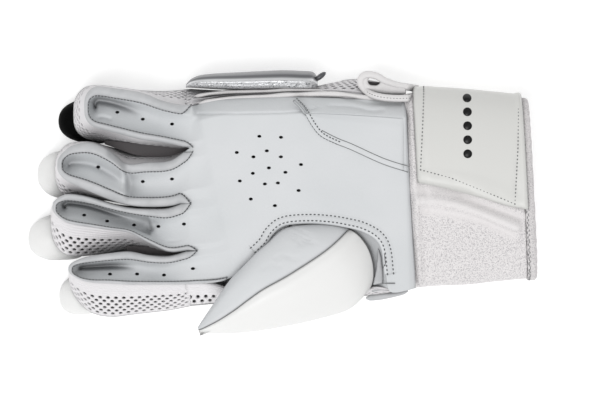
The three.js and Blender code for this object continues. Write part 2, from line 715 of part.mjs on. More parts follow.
// Thumb
function thumbRing(row, inset) {
  const left = new THREE.Vector2(row.leftAt * PALM_LENGTH, row.leftSide * PALM_WIDTH);
  const right = new THREE.Vector2(row.rightAt * PALM_LENGTH, row.rightSide * PALM_WIDTH);
  const along = right.clone().sub(left);
  const width = along.length();
  const flat = THUMB_SECTION.map((p) => {
    const across = p.across === 'seam' ? row.seam : p.across;
    return new THREE.Vector2(across * width, THUMB_DEPTH * THREE.MathUtils.lerp(row[p.from], row[p.to], p.mix));
  });
  const height = (row.crest - row.floor) * THUMB_DEPTH;
  return flat.map((p, i) => {
    const a = flat[(i + flat.length - 1) % flat.length];
    const b = flat[(i + 1) % flat.length];
    const normal = new THREE.Vector2(b.y - a.y, a.x - b.x).normalize();
    const depth = Math.min(inset(i), THUMB_WALL_LIMIT * Math.min(width, height));
    const q = p.clone().addScaledVector(normal, depth);
    const share = THREE.MathUtils.clamp(q.x / width, 0, 1);
    const under = i > PAD_END - 2 ? BOW_UNDER : 1;
    const bow = row.bow * width * Math.pow(Math.sin(Math.PI * share), BOW_POWER) * under;
    return vector(
      left.x + along.x * share - along.y / width * bow,
      left.y + along.y * share + along.x / width * bow,
      THUMB_FLOOR + q.y,
    );
  });
}

// A shell between two rings' points, drawn in at both ends so that its neighbours stay clear
function thumbShell(order, insetOf) {
  return loftSolid(THUMB.map((row) => {
    const outer = thumbRing(row, () => 0);
    const inner = thumbRing(row, (i) => insetOf(row, i));
    const pick = (ring) => {
      const strip = order.map((i) => ring[i].clone());
      const last = strip.length - 1;
      strip[0].add(strip[1].clone().sub(strip[0]).setLength(SEAT));
      strip[last].add(strip[last - 1].clone().sub(strip[last]).setLength(SEAT));
      return strip;
    };
    return pick(outer).concat(pick(inner).reverse());
  }));
}

function makeThumb() {
  const leatherOrder = [3, 2, 1, 0, 10, 9, 8];
  const padOrder = [3, 4, 5, 6, 7, 8];
  addPiece('thumb_leather', thumbShell(leatherOrder, () => LEATHER), 'leather', 0.55);
  const profile = (i) => PAD_PROFILE[Math.max(0, Math.min(i, PAD_END) - SEAM_INDEX)];
  const padInset = (row, i) => THUMB_PADDING * row.pad * profile(i);
  addPiece('thumb_pad', thumbShell(padOrder, padInset), 'pad', 0.4);
}

function makeThumbGusset() {
  const outline = THUMB_WEDGE.map((p) => new THREE.Vector2(p.at * PALM_LENGTH, p.side * PALM_WIDTH));
  const wedge = new THREE.ExtrudeGeometry(new THREE.Shape(outline), { depth: KNIT, bevelEnabled: false });
  wedge.translate(0, 0, THUMB_FLOOR + WEDGE_HEIGHT);
  addPiece('thumb_gusset', fromManifold(toManifold(wedge)), 'knit', 0.85);
}

// Cuff
function cuffStart(y) {
  const ulnar = PALM_ULNAR[PALM_ULNAR.length - 1];
  const radial = PALM_RADIAL[PALM_RADIAL.length - 1];
  const share = (y / PALM_WIDTH - ulnar.side) / (radial.side - ulnar.side);
  return PALM_LENGTH * THREE.MathUtils.lerp(ulnar.at, radial.at, THREE.MathUtils.clamp(share, 0, 1)) + 2 * GAP;
}

function cuffRow(share) {
  let i = 0;
  while (i < CUFF.length - 2 && share > CUFF[i + 1].at) i += 1;
  const t = (share - CUFF[i].at) / (CUFF[i + 1].at - CUFF[i].at);
  const mix = (key) => THREE.MathUtils.lerp(CUFF[i][key], CUFF[i + 1][key], t);
  const [ulnar, radial] = [mix('ulnar') * PALM_WIDTH, mix('radial') * PALM_WIDTH];
  return { ulnar, radial, depth: mix('depth') * CUFF_DEPTH };
}

// A point of the wrist tube: share along it, step round it from the ulnar side and height off it
function cuffPoint(share, step, off) {
  const row = cuffRow(share);
  const corner = (k) => {
    const angle = 2 * Math.PI * k / CUFF_AROUND;
    const round = (v) => Math.sign(v) * Math.pow(Math.abs(v), CUFF_ROUND);
    const y = (row.ulnar + row.radial) / 2 + ((row.ulnar - row.radial) / 2 + off) * round(Math.cos(angle));
    const z = CUFF_CLEARANCE + CUFF_DEPTH / 2 + (row.depth / 2 + off) * round(Math.sin(angle));
    return vector(cuffStart(y) + share * CUFF_LENGTH, y, z);
  };
  const low = Math.floor(step);
  return corner(low).lerp(corner(low + 1), step - low);
}

function cuffRing(share, off, shift = 0) {
  return Array.from({ length: CUFF_AROUND }, (_, k) => cuffPoint(share, k, off).add(vector(shift, 0, 0)));
}

function makeCuff() {
  const outer = CUFF.map((row) => cuffRing(row.at, 0));
  const inner = CUFF.map((row) => cuffRing(row.at, -TOWEL)).reverse();
  addPiece('cuff', loftSolid(outer.concat(inner), true), 'towel', 0.95);
  const full = GAP + EDGE_BAND * (1 - EDGE_SHOULDER);
  const band = [
    cuffRing(1, 0, GAP), cuffRing(1, EDGE_BAND_RISE, GAP + EDGE_BAND * EDGE_SHOULDER),
    cuffRing(1, EDGE_BAND_RISE, full), cuffRing(1, -TOWEL * EDGE_TURN, GAP + EDGE_BAND),
    cuffRing(1, -TOWEL, full), cuffRing(1, -TOWEL, GAP),
  ];
  addPiece('cuff_edge_band', loftSolid(band, true), 'towel', 0.9);
}

function makeStrap() {
  const across = [STRAP_FROM, CUFF[1].at, CUFF[2].at, STRAP_TO];
  const rings = [];
  const edgeStep = (share) => CUFF_AROUND / 4 + STRAP_END + STRAP_SLANT * share;
  for (let k = STRAP_UNDER; k < CUFF_AROUND / 4; k += 1) rings.push(across.map(() => k));
  rings.push(across.map(edgeStep));
  const bodies = rings.map((steps) => {
    const outer = across.map((share, i) => cuffPoint(share, steps[i], STRAP_CLEARANCE + STRAP));
    const inner = across.map((share, i) => cuffPoint(share, steps[i], STRAP_CLEARANCE));
    return outer.concat(inner.reverse());
  });
  addPiece('wrist_strap', loftSolid(bodies), 'strap', 0.35);
}

// Side bar and wrist loop
function makeSideBar() {
  const rings = BAR.map((row) => {
    const x = BAR_START + row.at * BAR_LENGTH;
    const inner = column(BACK_ULNAR, 'side', Math.max(0, x / PALM_LENGTH)) * PALM_WIDTH + BAR_CLEARANCE;
    return BAR_SECTION.map((p) => vector(
      x,
      inner + p.out * row.out * BAR_WIDTH,
      BAR_BOTTOM + BAR_DEPTH * THREE.MathUtils.lerp(row.low, row.high, p.height),
    ));
  });
  addPiece('side_bar', loftSolid(rings), 'silver', 0.3, 0.7);
}

function makeWristLoop() {
  const place = (p) => new THREE.Vector2(
    PALM_LENGTH - LOOP_BACK + p.along * LOOP_LENGTH,
    PALM_WIDTH / 2 + LOOP_OUT + p.side * LOOP_WIDTH,
  );
  const shape = new THREE.Shape(LOOP_OUTLINE.map(place));
  shape.holes.push(new THREE.Path(LOOP_SLIT.map(place)));
  const loop = new THREE.ExtrudeGeometry(shape, { depth: LOOP_THICK, bevelEnabled: false });
  loop.translate(0, 0, LOOP_BOTTOM);
  addPiece('wrist_loop', fromManifold(toManifold(loop)), 'knit', 0.85);
}

makePalmLeather();
makePatch();
makeArchBinding();
FINGERS.forEach(makeRim);
FINGERS.forEach(makeFingerWall);
makeUlnarWall();
makeRadialWall();
makeBackPanel();
FINGERS.forEach(makeFingerRolls);
makeHandRolls();
makeSideBar();
makeThumb();
makeThumbGusset();
makeCuff();
makeStrap();
makeWristLoop();

// The origin is the middle of the underside
const box = new THREE.Box3().setFromObject(glove);
glove.position.set(-(box.min.x + box.max.x) / 2, -(box.min.y + box.max.y) / 2, -box.min.z);
glove.updateMatrixWorld(true);

export default glove;
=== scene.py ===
"""The looks of a left-hand cricket batting glove, palm up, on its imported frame."""

import math

import bmesh
import bpy
import numpy as np
from bpy.props import FloatProperty, PointerProperty
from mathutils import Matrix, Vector


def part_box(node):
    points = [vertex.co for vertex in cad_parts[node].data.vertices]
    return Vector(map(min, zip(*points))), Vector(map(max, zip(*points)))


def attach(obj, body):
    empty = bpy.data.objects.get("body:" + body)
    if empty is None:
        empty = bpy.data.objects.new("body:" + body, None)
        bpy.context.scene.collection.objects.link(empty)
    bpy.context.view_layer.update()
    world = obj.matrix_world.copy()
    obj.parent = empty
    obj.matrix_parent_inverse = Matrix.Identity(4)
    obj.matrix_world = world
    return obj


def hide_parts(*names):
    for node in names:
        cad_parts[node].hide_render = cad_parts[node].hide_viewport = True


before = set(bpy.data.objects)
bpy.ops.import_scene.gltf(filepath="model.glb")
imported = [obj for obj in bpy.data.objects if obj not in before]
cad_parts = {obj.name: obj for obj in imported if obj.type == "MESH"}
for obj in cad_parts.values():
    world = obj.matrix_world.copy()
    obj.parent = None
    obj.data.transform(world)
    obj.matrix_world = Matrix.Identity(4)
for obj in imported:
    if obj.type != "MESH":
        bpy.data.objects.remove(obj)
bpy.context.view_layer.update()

bl_info = {
    "name": "Cricket batting glove",
    "version": (1, 0, 0),
    "blender": (4, 5, 0),
    "location": "3D View > Sidebar > Glove",
    "description": "Builds the visible pieces of a padded batting glove",
    "category": "Add Mesh",
}

# Sizes of the hand in millimetres, as in the part
PALM_LENGTH, PALM_WIDTH = 115.0, 104.0
HAND_DEPTH, FINGER_DEPTH, ROLL_DEPTH = 24.5, 20.0, 21.0
TURN_DOWN, TURN_WIDTH = 9.0, 8.5
GAP, SEAT, BACKING = 0.3, 0.4, 2.0
EDGE_DROP = 0.9
BACK_TOP = ROLL_DEPTH + GAP + BACKING
HOLLOW_FLOOR = BACK_TOP + GAP
THUMB_DEPTH, THUMB_FLOOR = 22.0, 38.0
CUFF_LENGTH, CUFF_DEPTH, CUFF_CLEARANCE, CUFF_ROUND = 58.0, 38.0, 8.0, 0.7
TOWEL, STRAP, STRAP_CLEARANCE = 3.4, 2.4, 0.7
BAR_START, BAR_LENGTH, BAR_DEPTH, BAR_WIDTH, BAR_BOTTOM = -2.5, 69.0, 29.0, 10.0, 9.0
LOOP_END, LOOP_SIDE = 112.5, 55.0

# The plan is charted in steps of 0.52 mm, with the crotch line at 190 across and the middle at 200 down
STEP, CHART_X, CHART_Y = 0.52, 190.0, 200.0

low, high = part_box("wrist_loop")
SHIFT = np.array([high.x * 1000 - LOOP_END, low.y * 1000 - LOOP_SIDE, 0.0])

# Finger rows: at, ulnar, radial, backUlnar, backRadial, rise, sag.
# rim: where the rim's inner edge lies on the ulnar and the radial side; ends: how far the rim's two ends reach past
# the crotch line; lean: the trough's lowest line, off the middle; deeper and pocket: more depth for the trough and
# its far part
FINGERS = [
    dict(name="little", length=54.6, width=24.0, middle=0.36, reach=1.13, rim=(0.58, 0.74),
         ends=(0.6, 1.4), lean=0.35, deeper=1.2, pocket=4.0, rows=[
        [0.00, 0.455, -0.433, 0.867, -0.455, 1.03, 0.10], [0.24, 0.563, -0.314, 0.823, -0.433, 1.02, 0.24],
        [0.47, 0.758, -0.238, 0.845, -0.400, 1.03, 0.36], [0.71, 0.845, -0.098, 0.930, -0.325, 1.06, 0.42],
        [0.88, 0.890, 0.000, 0.940, -0.240, 1.05, 0.42], [1.00, 0.845, 0.060, 0.850, -0.190, 1.00, 0.36]]),
    dict(name="ring", length=68.6, width=26.0, middle=0.13, reach=1.04, rim=(0.6, 0.6),
         ends=(1.4, 0.4), lean=0.1, deeper=0.9, pocket=1.5, rows=[
        [0.00, 0.520, -0.520, 0.500, -0.560, 1.03, 0.10], [0.14, 0.270, -0.630, 0.420, -0.575, 1.02, 0.22],
        [0.34, 0.220, -0.650, 0.420, -0.590, 1.00, 0.34], [0.48, 0.200, -0.610, 0.470, -0.560, 1.02, 0.38],
        [0.60, 0.440, -0.510, 0.550, -0.540, 1.10, 0.44], [0.74, 0.610, -0.360, 0.640, -0.520, 1.16, 0.46],
        [0.88, 0.560, -0.200, 0.640, -0.490, 1.12, 0.44], [1.00, 0.400, -0.060, 0.520, -0.400, 1.02, 0.36]]),
    dict(name="middle", length=71.2, width=27.0, middle=-0.13, reach=1.03, rim=(0.58, 0.82),
         ends=(0.4, 3.6), lean=0.38, deeper=1.05, pocket=5.0, rows=[
        [0.00, 0.500, -0.460, 0.440, -0.500, 1.03, 0.10], [0.15, 0.345, -0.490, 0.390, -0.490, 1.00, 0.26],
        [0.29, 0.330, -0.330, 0.370, -0.470, 0.97, 0.42], [0.44, 0.350, -0.125, 0.380, -0.460, 1.00, 0.46],
        [0.58, 0.440, -0.070, 0.390, -0.520, 1.03, 0.50], [0.73, 0.555, -0.010, 0.410, -0.580, 1.06, 0.50],
        [0.88, 0.610, 0.060, 0.460, -0.580, 1.04, 0.44], [1.00, 0.540, 0.200, 0.500, -0.440, 0.97, 0.34]]),
    dict(name="index", length=62.9, width=27.0, middle=-0.40, reach=1.0, rim=(0.56, 0.82),
         ends=(3.6, 19.0), lean=0.12, deeper=0.75, pocket=7.0, rows=[
        [0.00, 0.577, -0.077, 0.500, -0.520, 1.03, 0.10], [0.17, 0.460, -0.077, 0.460, -0.600, 1.00, 0.24],
        [0.33, 0.470, -0.077, 0.440, -0.644, 1.00, 0.36], [0.50, 0.540, -0.077, 0.400, -0.690, 1.03, 0.42],
        [0.66, 0.510, -0.050, 0.330, -0.730, 1.06, 0.48], [0.83, 0.450, -0.030, 0.230, -0.650, 1.06, 0.46],
        [1.00, 0.350, 0.080, 0.160, -0.340, 0.98, 0.34]]),
]

PALM_ULNAR = [[0.00, 0.465], [0.08, 0.495], [0.20, 0.515], [0.40, 0.518], [0.65, 0.512], [0.85, 0.500], [0.977, 0.490]]
PALM_RADIAL = [
    [0.000, -0.420], [0.170, -0.395], [0.240, -0.330], [0.300, -0.265], [0.345, -0.215], [0.372, -0.165],
    [0.425, -0.122], [0.525, -0.110], [0.625, -0.115], [0.710, -0.130], [0.780, -0.150], [0.842, -0.190],
    [0.872, -0.250], [0.885, -0.370], [0.896, -0.445], [0.930, -0.462], [1.020, -0.440]]
ARCH_FROM, ARCH_TO = 3, 13
BACK_ULNAR = [[0.00, 0.560], [0.20, 0.550], [0.40, 0.550], [0.585, 0.552], [0.68, 0.600], [0.77, 0.610], [0.88, 0.590],
              [0.98, 0.560]]
BACK_RADIAL = [[0.00, -0.535], [0.20, -0.515], [0.45, -0.500], [0.70, -0.490], [0.88, -0.475], [0.98, -0.450]]
PALM_HEIGHT = [[0.00, 0.845], [0.12, 0.900], [0.35, 0.985], [0.70, 1.000], [1.05, 0.925]]
RADIAL_WALL = [
    [-0.02, -0.422, 0.780], [0.10, -0.425, 0.780], [0.22, -0.465, 0.460], [0.40, -0.475, 0.360], [0.60, -0.475, 0.360],
    [0.76, -0.465, 0.440], [0.83, -0.445, 0.800], [0.90, -0.452, 0.860], [0.97, -0.440, 0.850]]

# Thumb rows: leftAt, leftSide, rightAt, rightSide, seam, bow, floor, left, crest, right
THUMB = [
    [0.507, -0.140, 0.810, -0.450, 0.38, 0.36, 0.02, 0.20, 0.40, 0.20],
    [0.420, -0.145, 0.720, -0.545, 0.42, 0.22, 0.00, 0.44, 0.85, 0.30],
    [0.350, -0.215, 0.560, -0.600, 0.42, 0.11, 0.00, 0.68, 1.06, 0.35],
    [0.298, -0.265, 0.410, -0.635, 0.45, 0.00, 0.00, 0.70, 1.12, 0.35],
    [0.240, -0.330, 0.295, -0.655, 0.50, 0.00, 0.00, 0.68, 1.06, 0.34],
    [0.180, -0.400, 0.203, -0.665, 0.58, 0.00, 0.00, 0.62, 0.96, 0.32],
    [0.108, -0.515, 0.118, -0.666, 0.62, 0.00, 0.04, 0.50, 0.76, 0.30],
    [0.050, -0.610, 0.058, -0.664, 0.60, 0.00, 0.14, 0.38, 0.50, 0.28],
    [0.036, -0.635, 0.042, -0.656, 0.55, 0.00, 0.24, 0.33, 0.38, 0.30]]
SEAM, BOW, FLOOR, LEFT, CREST, RIGHT = range(4, 10)
# Section points of the thumb: across, level from, level to, mix. The seam is the fourth point
THUMB_SECTION = [
    [0.00, LEFT, CREST, 0.00], [0.07, LEFT, CREST, 0.50], [0.22, LEFT, CREST, 0.86], [None, LEFT, CREST, 1.00],
    [0.72, RIGHT, CREST, 0.88], [0.93, RIGHT, CREST, 0.48], [1.00, RIGHT, CREST, 0.00], [0.93, FLOOR, RIGHT, 0.35],
    [0.68, FLOOR, RIGHT, 0.04], [0.34, FLOOR, LEFT, 0.20], [0.11, FLOOR, LEFT, 0.86]]

# Cuff rows: at, ulnar, radial, depth. Bar rows: at, out, low, high
CUFF = [[0.00, 0.535, -0.440, 0.90], [0.15, 0.545, -0.435, 1.00], [0.55, 0.530, -0.420, 1.00],
        [1.00, 0.505, -0.395, 0.96]]
BAR = [[0.00, 0.16, 0.40, 0.72], [0.04, 0.45, 0.25, 0.88], [0.12, 0.68, 0.10, 0.96], [0.35, 0.87, 0.00, 1.00],
       [0.70, 0.99, 0.00, 1.00], [0.90, 0.99, 0.06, 0.98], [0.97, 0.90, 0.15, 0.90], [1.00, 0.60, 0.32, 0.72]]
BAR_SECTION = [[0, 0.12], [0, 0.86], [0.3, 1], [0.72, 0.94], [0.97, 0.7], [1, 0.4], [0.8, 0.1], [0.35, 0]]

# Vent holes and sewn lines, on the chart
VENTS = [
    (117, 112), (142.5, 119), (172, 124), (98, 167), (142.5, 181.5), (172, 179), (84, 215), (107, 221), (133.5, 225),
    (158, 226.5), (184, 224), (110, 274), (137, 274), (164, 275), (193, 268.5), (259.5, 136.5), (281, 137.5),
    (237, 152.6), (267, 151), (253.6, 157), (281, 157), (301, 164.7), (269, 168), (285.5, 172.4), (253, 173.4),
    (240, 181), (265, 184), (278, 183), (298.6, 190.5), (251, 199), (275, 205.6)]
PATCH_SEAM = [(294, 101), (303, 110.5), (312, 126), (321, 136.5), (336, 144), (351, 150), (382, 164), (407, 172)]
# Folds of the leather: line on the chart, depth, width to the right and width to the left in millimetres
FOLDS = [
    ([(144, 204), (147, 219), (149.5, 230)], 3.6, 0.9, 6.5),
    ([(128, 233), (140, 234), (149.5, 230)], 1.6, 1.6, 1.6),
    ([(161, 206), (158, 218), (151, 230)], 0.9, 1.2, 1.2),
    ([(160, 246), (172, 244), (190, 246)], 1.2, 1.6, 1.6),
    ([(96, 122), (101, 117), (110, 119)], 1.0, 1.0, 1.0),
    ([(192, 114), (255, 113.5), (300, 112), (318, 108)], 0.9, 0.6, 0.6),
    ([(330, 106), (352, 107), (372, 111), (382, 110)], 1.0, 1.0, 1.0),
    ([(346, 98), (372, 103), (400, 103)], 0.8, 1.2, 1.2),
    ([(205, 98), (240, 96.5), (300, 94), (335, 92)], 1.2, 1.0, 1.0),
    ([(168, 251), (186, 262), (196, 274)], 0.5, 2.5, 2.5),
    ([(205, 255), (214, 268), (216, 280)], 0.4, 3.0, 3.0),
]
# Wrinkles of the thumb's leather and folds of the cuff: line, depth and width
WRINKLES = [
    ([(293, 232), (301, 236), (309, 243)], 0.9, 0.6), ([(297, 230), (305, 233), (312, 238)], 0.7, 0.6),
    ([(291, 236), (298, 240), (304, 245)], 0.6, 0.6), ([(276, 259), (285, 255), (296, 259), (306, 254)], 0.6, 0.7),
    ([(300, 246), (308, 241), (316, 243)], 0.6, 0.7), ([(262, 268), (272, 264), (281, 266)], 0.4, 0.8),
    ([(285, 228), (292, 226), (299, 229)], 0.7, 0.8)]
CUFF_FOLDS = [
    ([(419, 200), (450, 203), (480, 212), (516, 226)], -2.6, 2.4),
    ([(416, 188), (450, 193), (490, 207), (520, 218)], 1.8, 1.6),
    ([(424, 210), (450, 214), (480, 221), (512, 235)], 0.9, 1.5), ([(425, 190), (428, 200), (426, 212)], 1.0, 1.2)]
# Hems and linings beside the palm, and dark sheets of painted shade in the finger gaps: lines on the chart
LIP_EDGE = [(366, 298), (380, 297), (395, 294), (408, 290.5)]
SIDE_HEM = [(192, 107), (206, 101.5), (228, 99), (258, 97), (300, 94.5), (335, 94), (362, 97), (385, 101), (404, 102)]
SIDE_HEM_UNDER = [(188, 99), (200, 95), (222, 92), (262, 91), (300, 90), (330, 92)]
LOOP_HEM = [(419, 88), (400, 85.5), (386, 81), (376, 75.5), (366, 74.5), (361, 79), (362, 86), (369, 93),
            (380, 97), (396, 98.5), (419, 98)]
GAP_SHADE_SHEETS = [
    ("little", [(104, 140), (140, 143), (170, 145), (187, 147)], [(104, 144), (140, 156), (170, 157), (187, 152)]),
    ("middle", [(126, 246), (150, 246.5), (172, 248), (191, 248.5)],
     [(126, 255), (150, 259), (172, 258), (191, 253.5)])]
# The strap covers these shares of the cuff's length, from this step under the hand to its slanted end
STRAP_FROM, STRAP_TO, STRAP_UNDER = 0.05, 1.03, -5.0
STRAP_SEAM = [(424, 86), (422, 130), (420, 170), (450, 178), (480, 190), (514, 204), (517, 150), (518.5, 96)]
STRAP_END = [(0.0, 9.6), (0.25, 6.6), (0.6, 1.2), (0.85, -3.3), (1.0, -4.8)]


def read(rows, at):
    """Smooth reading of a table whose first column is the place."""
    rows, at = np.asarray(rows, float), np.asarray(at, float)
    x, y = rows[:, 0], rows[:, 1:]
    places = np.arange(len(x))
    before, after = np.maximum(places - 1, 0), np.minimum(places + 1, len(x) - 1)
    slope = (y[after] - y[before]) / (x[after] - x[before])[:, None]
    i = np.clip(np.searchsorted(x, at) - 1, 0, len(x) - 2)
    span = (x[i + 1] - x[i])[..., None]
    t = np.clip((at[..., None] - x[i][..., None]) / span, 0, 1)
    h = t * t * (3 - 2 * t)
    return y[i] * (1 - h) + y[i + 1] * h + slope[i] * span * t * (1 - t) ** 2 - slope[i + 1] * span * t * t * (1 - t)


def curve(points, share):
    """Catmull-Rom curve through points, each with an equal share of it."""
    points, share = np.asarray(points, float), np.asarray(share, float)
    last = len(points) - 1
    place = np.clip(share, 0, 1) * last
    i = np.minimum(place.astype(int), last - 1)
    t = (place - i)[..., None]
    p0, p1, p2, p3 = points[np.maximum(i - 1, 0)], points[i], points[i + 1], points[np.minimum(i + 2, last)]
    a, b = (p2 - p0) / 2, (p3 - p1) / 2
    return (2 * p1 - 2 * p2 + a + b) * t**3 + (-3 * p1 + 3 * p2 - 2 * a - b) * t**2 + a * t + p1


def edge(rows, share):
    return curve(rows, share) * [PALM_LENGTH, PALM_WIDTH]


def spot(points):
    """Chart points as plan positions in millimetres."""
    return (np.asarray(points, float) - [CHART_X, CHART_Y]) * [STEP, -STEP]


def ease(value, start, end):
    t = np.clip((value - start) / (end - start), 0, 1)
    return t * t * (3 - 2 * t)


def away(x, y, line):
    """Distance from each point to a line of points."""
    best = np.full(np.shape(x), 1e9)
    for (ax, ay), (bx, by) in zip(line[:-1], line[1:]):
        dx, dy = bx - ax, by - ay
        t = np.clip(((x - ax) * dx + (y - ay) * dy) / (dx * dx + dy * dy), 0, 1)
        best = np.minimum(best, np.hypot(x - ax - t * dx, y - ay - t * dy))
    return best


def ripple(x, y, size, seed=0.0):
    """A smooth repeatable unevenness from -1 to 1."""
    a, b = x / size + seed, y / size - seed
    first, second = np.sin(a * 2.1 + 1.3 * np.sin(b * 1.7)), np.sin(b * 2.6 + 1.1 * np.sin(a * 1.3 + 2))
    return (first + second + np.sin((a + b) * 1.4)) / 3


def near(x, y, line, wide, count=16):
    """From 0 far from a charted line to 1 on it."""
    return np.exp(-((away(x, y, spot(smooth_line(line, count))) / wide) ** 2))


def grain(x, y):
    """The slight unevenness of the palm's leather."""
    return 0.35 * ripple(x, y, 17)


def round_angles(count):
    return 2 * np.pi * np.arange(count) / count


def palm_top(x):
    return HOLLOW_FLOOR + HAND_DEPTH * read(PALM_HEIGHT, x / PALM_LENGTH)[..., 0]


def inset(path, distance):
    """Moves a path to its left in plan."""
    step = np.gradient(path[:, :2], axis=0)
    step /= np.maximum(np.linalg.norm(step, axis=1), 1e-9)[:, None]
    moved = path.copy()
    moved[:, 0] -= step[:, 1] * distance
    moved[:, 1] += step[:, 0] * distance
    return moved


def resample(path, count=None, pitch=None):
    """A path at equal steps."""
    lengths = np.r_[0, np.cumsum(np.linalg.norm(np.diff(path, axis=0), axis=1))]
    count = count or max(2, int(lengths[-1] / pitch) + 1)
    places = np.linspace(0, lengths[-1], count)
    return np.stack([np.interp(places, lengths, path[:, k]) for k in range(path.shape[1])], 1)


def smooth_line(points, count=60):
    return curve(points, np.linspace(0, 1, count))


# Materials
def colour(value):
    """A display colour from 0 to 255 as light."""
    c = np.asarray(value, float) / 255
    return tuple(np.where(c <= 0.04045, c / 12.92, ((c + 0.055) / 1.055) ** 2.4)) + (1.0,)


class Finish:
    """A procedural material that is put together node by node."""

    def __init__(self, name, base, roughness, metallic=0.0, sheen=0.0):
        self.material = bpy.data.materials.new(name)
        self.material.use_nodes = True
        self.tree = self.material.node_tree
        self.shader = self.tree.nodes["Principled BSDF"]
        self.base = colour(base)
        for key, value in {"Base Color": self.base, "Roughness": roughness, "Metallic": metallic,
                           "Sheen Weight": sheen, "Specular IOR Level": 0.35}.items():
            self.shader.inputs[key].default_value = value
        self.place = self.add("ShaderNodeTexCoord").outputs["Object"]

    def add(self, kind, settings=None, **links):
        node = self.tree.nodes.new(kind)
        for key, value in (settings or {}).items():
            if key in node.inputs:
                node.inputs[key].default_value = value
            else:
                setattr(node, key, value)
        for key, value in links.items():
            self.tree.links.new(value, node.inputs[key.replace("_", " ")])
        return node

    def noise(self, scale, detail=3.0, distortion=0.0):
        settings = {"Scale": scale, "Detail": detail, "Distortion": distortion}
        return self.add("ShaderNodeTexNoise", settings, Vector=self.place).outputs["Fac"]

    def cells(self, scale, feature="F1"):
        node = self.add("ShaderNodeTexVoronoi", {"feature": feature, "Scale": scale}, Vector=self.place)
        return node.outputs["Distance"]

    def attribute(self, name):
        return self.add("ShaderNodeAttribute", {"attribute_name": name}).outputs["Fac"]

    def ramp(self, value, low, high):
        node = self.add("ShaderNodeMapRange", {"From Min": low, "From Max": high}, Value=value)
        return node.outputs["Result"]

    def math(self, operation, a, b=None, value=None):
        node = self.add("ShaderNodeMath", {"operation": operation})
        self.tree.links.new(a, node.inputs[0])
        if b is not None:
            self.tree.links.new(b, node.inputs[1])
        if value is not None:
            node.inputs[1].default_value = value
        return node.outputs[0]

    def tint(self, mask, other):
        """Turns the colour to another where the mask is 1."""
        node = self.add("ShaderNodeMix", {"data_type": "RGBA"})
        node.inputs[6].default_value = self.base
        node.inputs[7].default_value = colour(other)
        if self.shader.inputs["Base Color"].is_linked:
            self.tree.links.new(self.shader.inputs["Base Color"].links[0].from_socket, node.inputs[6])
        self.tree.links.new(mask, node.inputs[0])
        self.tree.links.new(node.outputs[2], self.shader.inputs["Base Color"])
        return self

    def paint_crevice_shade(self, amount=0.75, distance=0.012):
        """Paints shade into the colour where the surface is shut in: the base colour darkens towards near-black in
        creases, folds and gaps.
        """
        shut = self.add("ShaderNodeAmbientOcclusion", {"samples": 6, "Distance": distance}).outputs["AO"]
        mask = self.math("MULTIPLY", self.ramp(shut, 0.88, 0.15), value=amount)
        node = self.add("ShaderNodeMix", {"data_type": "RGBA", "blend_type": "MULTIPLY"})
        node.inputs[6].default_value = self.base
        # near-black colour of the painted crevice shade
        node.inputs[7].default_value = (0.12, 0.12, 0.125, 1)
        if self.shader.inputs["Base Color"].is_linked:
            self.tree.links.new(self.shader.inputs["Base Color"].links[0].from_socket, node.inputs[6])
        self.tree.links.new(mask, node.inputs[0])
        self.tree.links.new(node.outputs[2], self.shader.inputs["Base Color"])
        return self

    def bump(self, height, strength, depth):
        node = self.add("ShaderNodeBump", {"Strength": strength, "Distance": depth}, Height=height)
        if self.shader.inputs["Normal"].is_linked:
            self.tree.links.new(self.shader.inputs["Normal"].links[0].from_socket, node.inputs["Normal"])
        self.tree.links.new(node.outputs["Normal"], self.shader.inputs["Normal"])
        return self


FINISHES = {}


